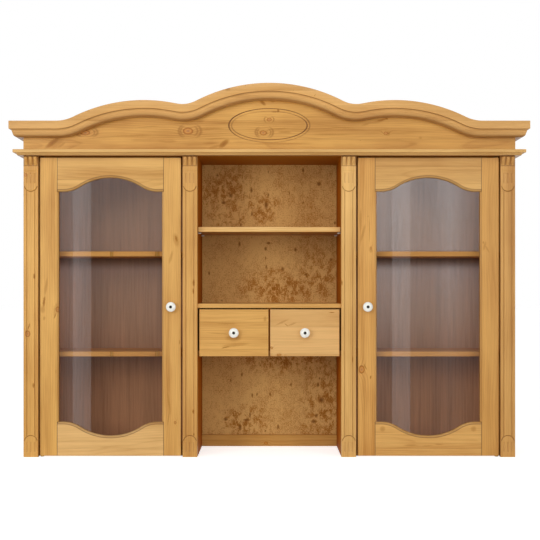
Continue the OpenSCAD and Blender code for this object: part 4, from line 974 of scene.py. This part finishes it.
def flute_depth(x, z, middle_x, z0, z1, r=3.4, depth=1.6):
    """Depth of a round-nosed flute: a ball of radius r run along a line from z0 to z1."""
    away = np.hypot(x - middle_x, z - np.clip(z, z0 + r, z1 - r))
    return np.clip(np.sqrt(np.clip(r * r - away * away, 0, None)) - (r - depth), 0, None)


def reed_height(x, z, middle_x, r=7.0, low=4.0, high=13.0, top=1062.0, reed_h=36.0):
    """How far a leaning reed with ball ends stands out at (x, z): the foremost of its lower
    ball, its slanting cylinder and its upper ball."""
    rise = reed_h - 2 * r
    lean = math.atan2(high - low, rise)
    za, zb = top - reed_h + r, top - r
    ya, yb = r - low, r - low - (high - low)
    rho = np.sqrt(np.clip(r * r - (x - middle_x) ** 2, 0, None))
    balls = []
    for yc, zc in ((ya, za), (yb, zb)):
        drop = rho ** 2 - (z - zc) ** 2
        balls.append(np.where(drop > 0, -(yc - np.sqrt(np.clip(drop, 0, None))), BELOW))
    along = (z - za + rho * math.sin(lean)) / math.cos(lean)
    on_tube = (along >= 0) & (along <= (zb - za) / math.cos(lean))
    tube = np.where(on_tube, -(ya - along * math.sin(lean) - rho * math.cos(lean)), BELOW)
    return np.where(np.abs(x - middle_x) < r, np.maximum.reduce([*balls, tube]), BELOW)


def pilaster(cad_node, middle_x, door_side, material):
    """Pilaster as a closed ring at each height: the carved front, then the two back corners.
    The front stands out by the highest of flat face, capital wedge and reeds, less the deepest
    of grooves, tongue outlines, flutes and the cut across the tongue. Its face in the gap beside
    the door (door_side is 1 on its right, -1 on its left) has painted shade."""
    x = np.concatenate([[-26.0, -25.6, -25.1], np.linspace(-24.5, 24.5, 113), [25.1, 25.6, 26.0]])
    z = np.unique(np.concatenate([np.linspace(0, 80, 116), np.linspace(80, 930, 18),
                                  np.linspace(930, 1021, 130), np.linspace(1021, 1062, 66)]))
    x, z = np.meshgrid(x, z)
    ends = np.clip((z - 71) / 1.2, 0, 1) * np.clip((942 - z) / 1.2, 0, 1)
    cut = np.maximum(*(groove(x - s * 14.2, depth=2.0) * ends for s in (-1, 1)))
    outline = np.maximum(groove(np.hypot(x, z - 960) - 23) * (z < 955.3),
                         groove(np.hypot(x, z - 53) - 23) * (z > 57.7))
    across = groove(z - 1009, depth=0.85) * (np.abs(x) < 23.5)
    # Stain and painted shade in the long grooves, the tongue outlines, the cut across and the
    # flutes
    stain_and_shade = np.maximum.reduce([0.6 * np.clip(cut / 1.3, 0, 1),
                               0.75 * np.clip(outline / 1.3, 0, 1), 0.15 * across])
    cut = np.maximum.reduce([cut, outline, across])
    for i in (-1, 0, 1):
        flutes = (flute_depth(x, z, i * 13.3, 965, 1003)
                  + flute_depth(x, z, i * 13.3, 16.7, 54.7))
        stain_and_shade = np.maximum(stain_and_shade, 0.24 * np.clip(flutes, 0, 1))
        cut = np.maximum(cut, flutes)
    reeds = np.maximum.reduce([reed_height(x, z, i * 16.5) for i in (-1, 0, 1)])
    wedge = np.where(np.abs(x) < 20, (z - 1029.5) / 32.5 * 9 - 0.9, BELOW)
    capital = np.where(z > 1022, np.maximum(reeds, wedge), BELOW)
    top = np.maximum(-cut, capital)
    # beside is 0 in the middle of a reed and 1 in the valley between two
    beside = np.abs(np.abs(np.abs(x) - 8.25) - 8.25) / 8.25
    # Painted shade on the capital: reeds' sides and valleys, their feet, and under the moulding
    # above
    valley = np.clip((beside - 0.80) / 0.18, 0, 1)
    foot = np.clip(1 - np.abs(z - 1026.6 - 3.2 * beside ** 2) / 1.7, 0, 1)
    roof = np.clip((z - 1054.5) / 5.5, 0, 1)
    reeded = np.maximum.reduce([0.12 + 0.42 * beside ** 2 + 0.52 * valley, foot, 1.2 * roof])
    stain_and_shade = np.maximum(stain_and_shade, reeded * (z > 1025) * (np.abs(x) < 25.5))
    edge = np.clip(np.abs(x) - 24.5, 0, 1.5)
    top = np.where(np.abs(x) > 24.5, -edge ** 1.4 * 0.85, top)
    front = np.stack([middle_x + x / 1000, FRONT - top / 1000, z / 1000], -1)
    rows = front.shape[0]
    back = np.zeros((rows, 2, 3))
    back[:, 0, 0], back[:, 1, 0] = middle_x + 0.026, middle_x - 0.026
    back[:, :, 1] = BOARD_Y
    back[:, :, 2] = z[:, :1] / 1000
    # Painted shade on the side face in the door's gap: its back corner and the front's edge column
    gap = np.zeros((rows, 2))
    gap[:, 0 if door_side > 0 else 1] = 1.3
    stain_and_shade = np.concatenate([stain_and_shade, gap], 1)
    stain_and_shade[:, -3 if door_side > 0 else 0] = 1.0
    mesh = ring_mesh(cad_node, [np.concatenate([front, back], 1)], [stain_and_shade])
    link_piece(cad_node + "_carved", mesh, [cad_node], material, soft_angle=50)


# Node, middle, side of the door, tone, seed, knots and smudges
for cad_node, x, door_side, tone, seed, knots, smudges in (
        ("pilaster_outer_left", -OUTER_X, 1, "#d9a75a", 1.0,
         ((-860, 995, 5), (-852.3, 434.8, 9.5, 12)),
         ((-828.9, 637.1, 4.8, 12, 0), (-831.2, 252.9, 4.8, 11, 0), (-848, 460, 3.5, 16, 18))),
        ("pilaster_inner_left", -INNER_X, -1, "#d09f59", 2.0, (),
         ((-266.7, 614.6, 5.2, 15, 0), (-268, 160.5, 4.5, 10, 0), (-266, 80, 3, 7, 0),
          (-268, 585, 4, 13, 0))),
        ("pilaster_inner_right", INNER_X, 1, "#dbaf6c", 3.0, (),
         ((294.1, 345, 2.5, 14, 0), (256, 615, 3, 12, 0))),
        ("pilaster_outer_right", OUTER_X, -1, "#cb9a57", 4.0, (), ((864, 526, 1.5, 6, 0),))):
    wood = pine(cad_node + "_pine", "Z", "Y", (x, FRONT, 0.53), tone, seed=seed,
                pith=(0.06 + 0.01 * seed, 0.09), knots=knots, smudges=smudges)
    pilaster(cad_node, x, door_side, wood)


# Rails of the doors

def rail_curve(steps=26):
    """Lower edge of a rail from left to right about its middle, in metres: a straight run, a
    low round, the arch, and the same mirrored, with the direction into the wood at each point."""
    open_half, flat, end_h, mid_h, end_r, half = 182.0, 15.0, 120.0, 71.0, 110.0, 189.0
    rise, end_x = end_h - mid_h, open_half - flat
    arch_r = (end_x ** 2 + rise ** 2) / (2 * rise) - end_r
    arch_c = np.array([0.0, -mid_h - arch_r])
    end_c = np.array([end_x, -end_h + end_r])
    meet = math.atan2(end_c[1] - arch_c[1], end_c[0] - arch_c[0])
    a = np.linspace(math.pi / 2, meet, steps)
    b = np.linspace(meet, math.pi / 2, steps)[1:]
    ray, low = (np.stack([np.cos(t), np.sin(t)], -1) for t in (a, b))
    places = np.concatenate([arch_c + arch_r * ray, end_c - end_r * low, [[half, -end_h]]])
    into = np.concatenate([ray, low, [[0.0, 1.0]]])
    places, into = (np.concatenate([v[:0:-1] * [-1, 1], v]) for v in (places, into))
    return places / 1000, into


def curved_rail(cad_node, middle_x, base_z, up, material):
    """Rail of a door: at each station of its curve a ring runs up the face from the moulded
    edge (step, quarter round, upright edge) to the straight edge, and back along the rebate."""
    places, into = rail_curve()
    w, step, lip, thick, rebate_z = 0.007, 0.0008, 0.010, 0.020, -0.061
    t = np.radians(np.linspace(0, 90, 10))
    reach = np.concatenate([[w + 0.0030, w + 0.0018, w + 0.0004, w], w - w * np.sin(t)])
    depth = np.concatenate([[0, 0, 0, 0.0003], step + w * (1 - np.cos(t))])
    x = np.clip(places[:, 0, None] + reach * into[:, 0, None], -RAIL_HALF, RAIL_HALF)
    z = places[:, 1, None] + reach * into[:, 1, None]
    px, pz = places[:, 0, None], places[:, 1, None]
    flat = np.zeros_like(px)
    ring_x = np.concatenate([x] + [px] * 5, 1)
    ring_y = np.concatenate([np.broadcast_to(depth, x.shape)]
                            + [flat + y for y in (lip, lip, thick, thick, 0)], 1)
    ring_z = np.concatenate([z, pz] + [flat + high for high in (rebate_z, rebate_z, 0, 0)], 1)
    points = np.stack([middle_x + ring_x, DOOR_Y + ring_y, base_z + up * ring_z], -1)
    # Stain and painted shade: most at the edge's step, some over the round, more at the lip
    stain_and_shade = np.concatenate([[0.0, 0.6, 1.0, 1.0, 0.9], np.full(7, 0.45),
                            [0.7, 0.95, 0.8, 0, 0, 0, 0]])
    mesh = ring_mesh(cad_node, [points], [np.broadcast_to(stain_and_shade, ring_x.shape)])
    link_piece(cad_node + "_moulded", mesh, [cad_node], material)


# Dark line where a rail's end stands against the stile's moulded edge
COPED = ((0.0, "#54300f", 0.75), (0.0045, "#54300f", 0.65), (0.0075, "#54300f", 0.0),
         (0.9925, "#54300f", 0.0), (0.9955, "#54300f", 0.65), (1.0, "#54300f", 0.75))
RAILS = (
    ("left", "top", "#d3a661", dict(joints=((978, 0.06), (1024.4, -0.07)))),
    ("left", "bottom", "#dcb377", dict(joints=((30, -0.05),))),
    ("right", "top", "#cfa362", dict(joints=((978, 0.05), (1024.4, 0.16)))),
    ("right", "bottom", "#d8a963", dict(joints=((28.4, 0.08), (48.8, -0.1), (78.2, 0.09)),
        patches=((40, 500, 4, 30, 0), (38, 560, 3, 24, 4), (43, 600, 3, 20, -4),
                 (98, 400, 12, 12, 0), (98, 722, 12, 12, 0)))))

for k, (side, which, tone, figure) in enumerate(RAILS):
    s = -1 if side == "left" else 1
    base, up = (DOOR_Z1, 1) if which == "top" else (DOOR_Z0, -1)
    cad_node = f"{side}_{which}_rail"
    ends = s * DOOR_X - RAIL_HALF, s * DOOR_X + RAIL_HALF
    wood = pine(cad_node + "_pine", "X", "Y", middle(cad_node), tone, seed=1.7 + 1.9 * k,
                pith=(0.02 * s, 0.08), glaze=(("X", *ends, COPED),), **figure)
    curved_rail(cad_node, s * DOOR_X, base, up, wood)


# Knobs and fittings

def knob_profile():
    """Radius and distance from the wood, in metres: foot, neck, flare, dome and the recess
    round the screw head."""
    r, length, foot_r, neck_r, neck_z, dome_h, recess = 17.5, 26.0, 10.0, 7.0, 5.5, 9.3, 1.6
    dome_z = length - dome_h
    t = np.radians(np.linspace(0, 90, 10))
    foot = np.stack([neck_r + (foot_r - neck_r) * (1 - np.sin(t)),
                     2.5 + (neck_z - 2.5) * (1 - np.cos(t))], -1)
    flare_t = np.radians(np.linspace(6, 78, 13))
    flare = np.stack([neck_r + (r - neck_r) * (1 - np.cos(flare_t)),
                      neck_z + (dome_z - neck_z) * 0.74 * np.sin(flare_t)], -1)
    dome_t = np.radians(np.linspace(0, 70, 19))
    dome = np.stack([r * np.cos(dome_t), dome_z + dome_h * np.sin(dome_t)], -1)
    return np.concatenate([[[2.1, 0], [foot_r - 0.3, 0], [foot_r, 0.3]], foot, flare, dome,
                           [[5.6, length - 0.04], [5.1, length - 0.1], [4.6, length - 0.8],
                            [4.5, length - recess], [2.1, length - recess]]]) / 1000


porcelain = glazed_porcelain()
for body, x, z in (("left_door", -0.347, 0.5295), ("right_door", 0.347, 0.5295),
                   ("left_drawer", -0.1255, 0.43775), ("right_drawer", 0.1255, 0.43775)):
    revolved(f"{body}_porcelain_knob", knob_profile(), (x, DOOR_Y, z), f"{body}_knob", porcelain)

# Pieces that keep the CAD shape and get their finish
for names, finish in (
        ("back_panel_centre left_drawer_bottom right_drawer_bottom", figured_plywood()),
        ("back_panel_left back_panel_right", brown_backing()),
        ("shelf_pins", moulded_plastic("white_moulded_abs", "#f4f2ee", "#e6e3dd")),
        ("magnet_catches", moulded_plastic("brown_moulded_abs", "#5e3d22", "#523318")),
        ("pivot_brackets pivot_screws",
         plain_metal("bronzed_steel", "#5c432c", "#463020", 0.4, 160)),
        ("left_strike_plate right_strike_plate",
         plain_metal("zinc_plated_steel", "#e9eaec", "#d3d4d7", 0.36, 160)),
        ("left_pivot_bushes right_pivot_bushes",
         plain_metal("turned_brass", "#c4a35c", "#a98746", 0.3, 200)),
        ("left_glass right_glass", float_glass()),
        ("left_door_knob_screw right_door_knob_screw left_drawer_knob_screw "
         "right_drawer_knob_screw",
         plain_metal("darkened_steel", "#3c352f", "#262019", 0.42, 300))):
    for name in names.split():
        for slot in nodes[name].material_slots:
            slot.material = finish
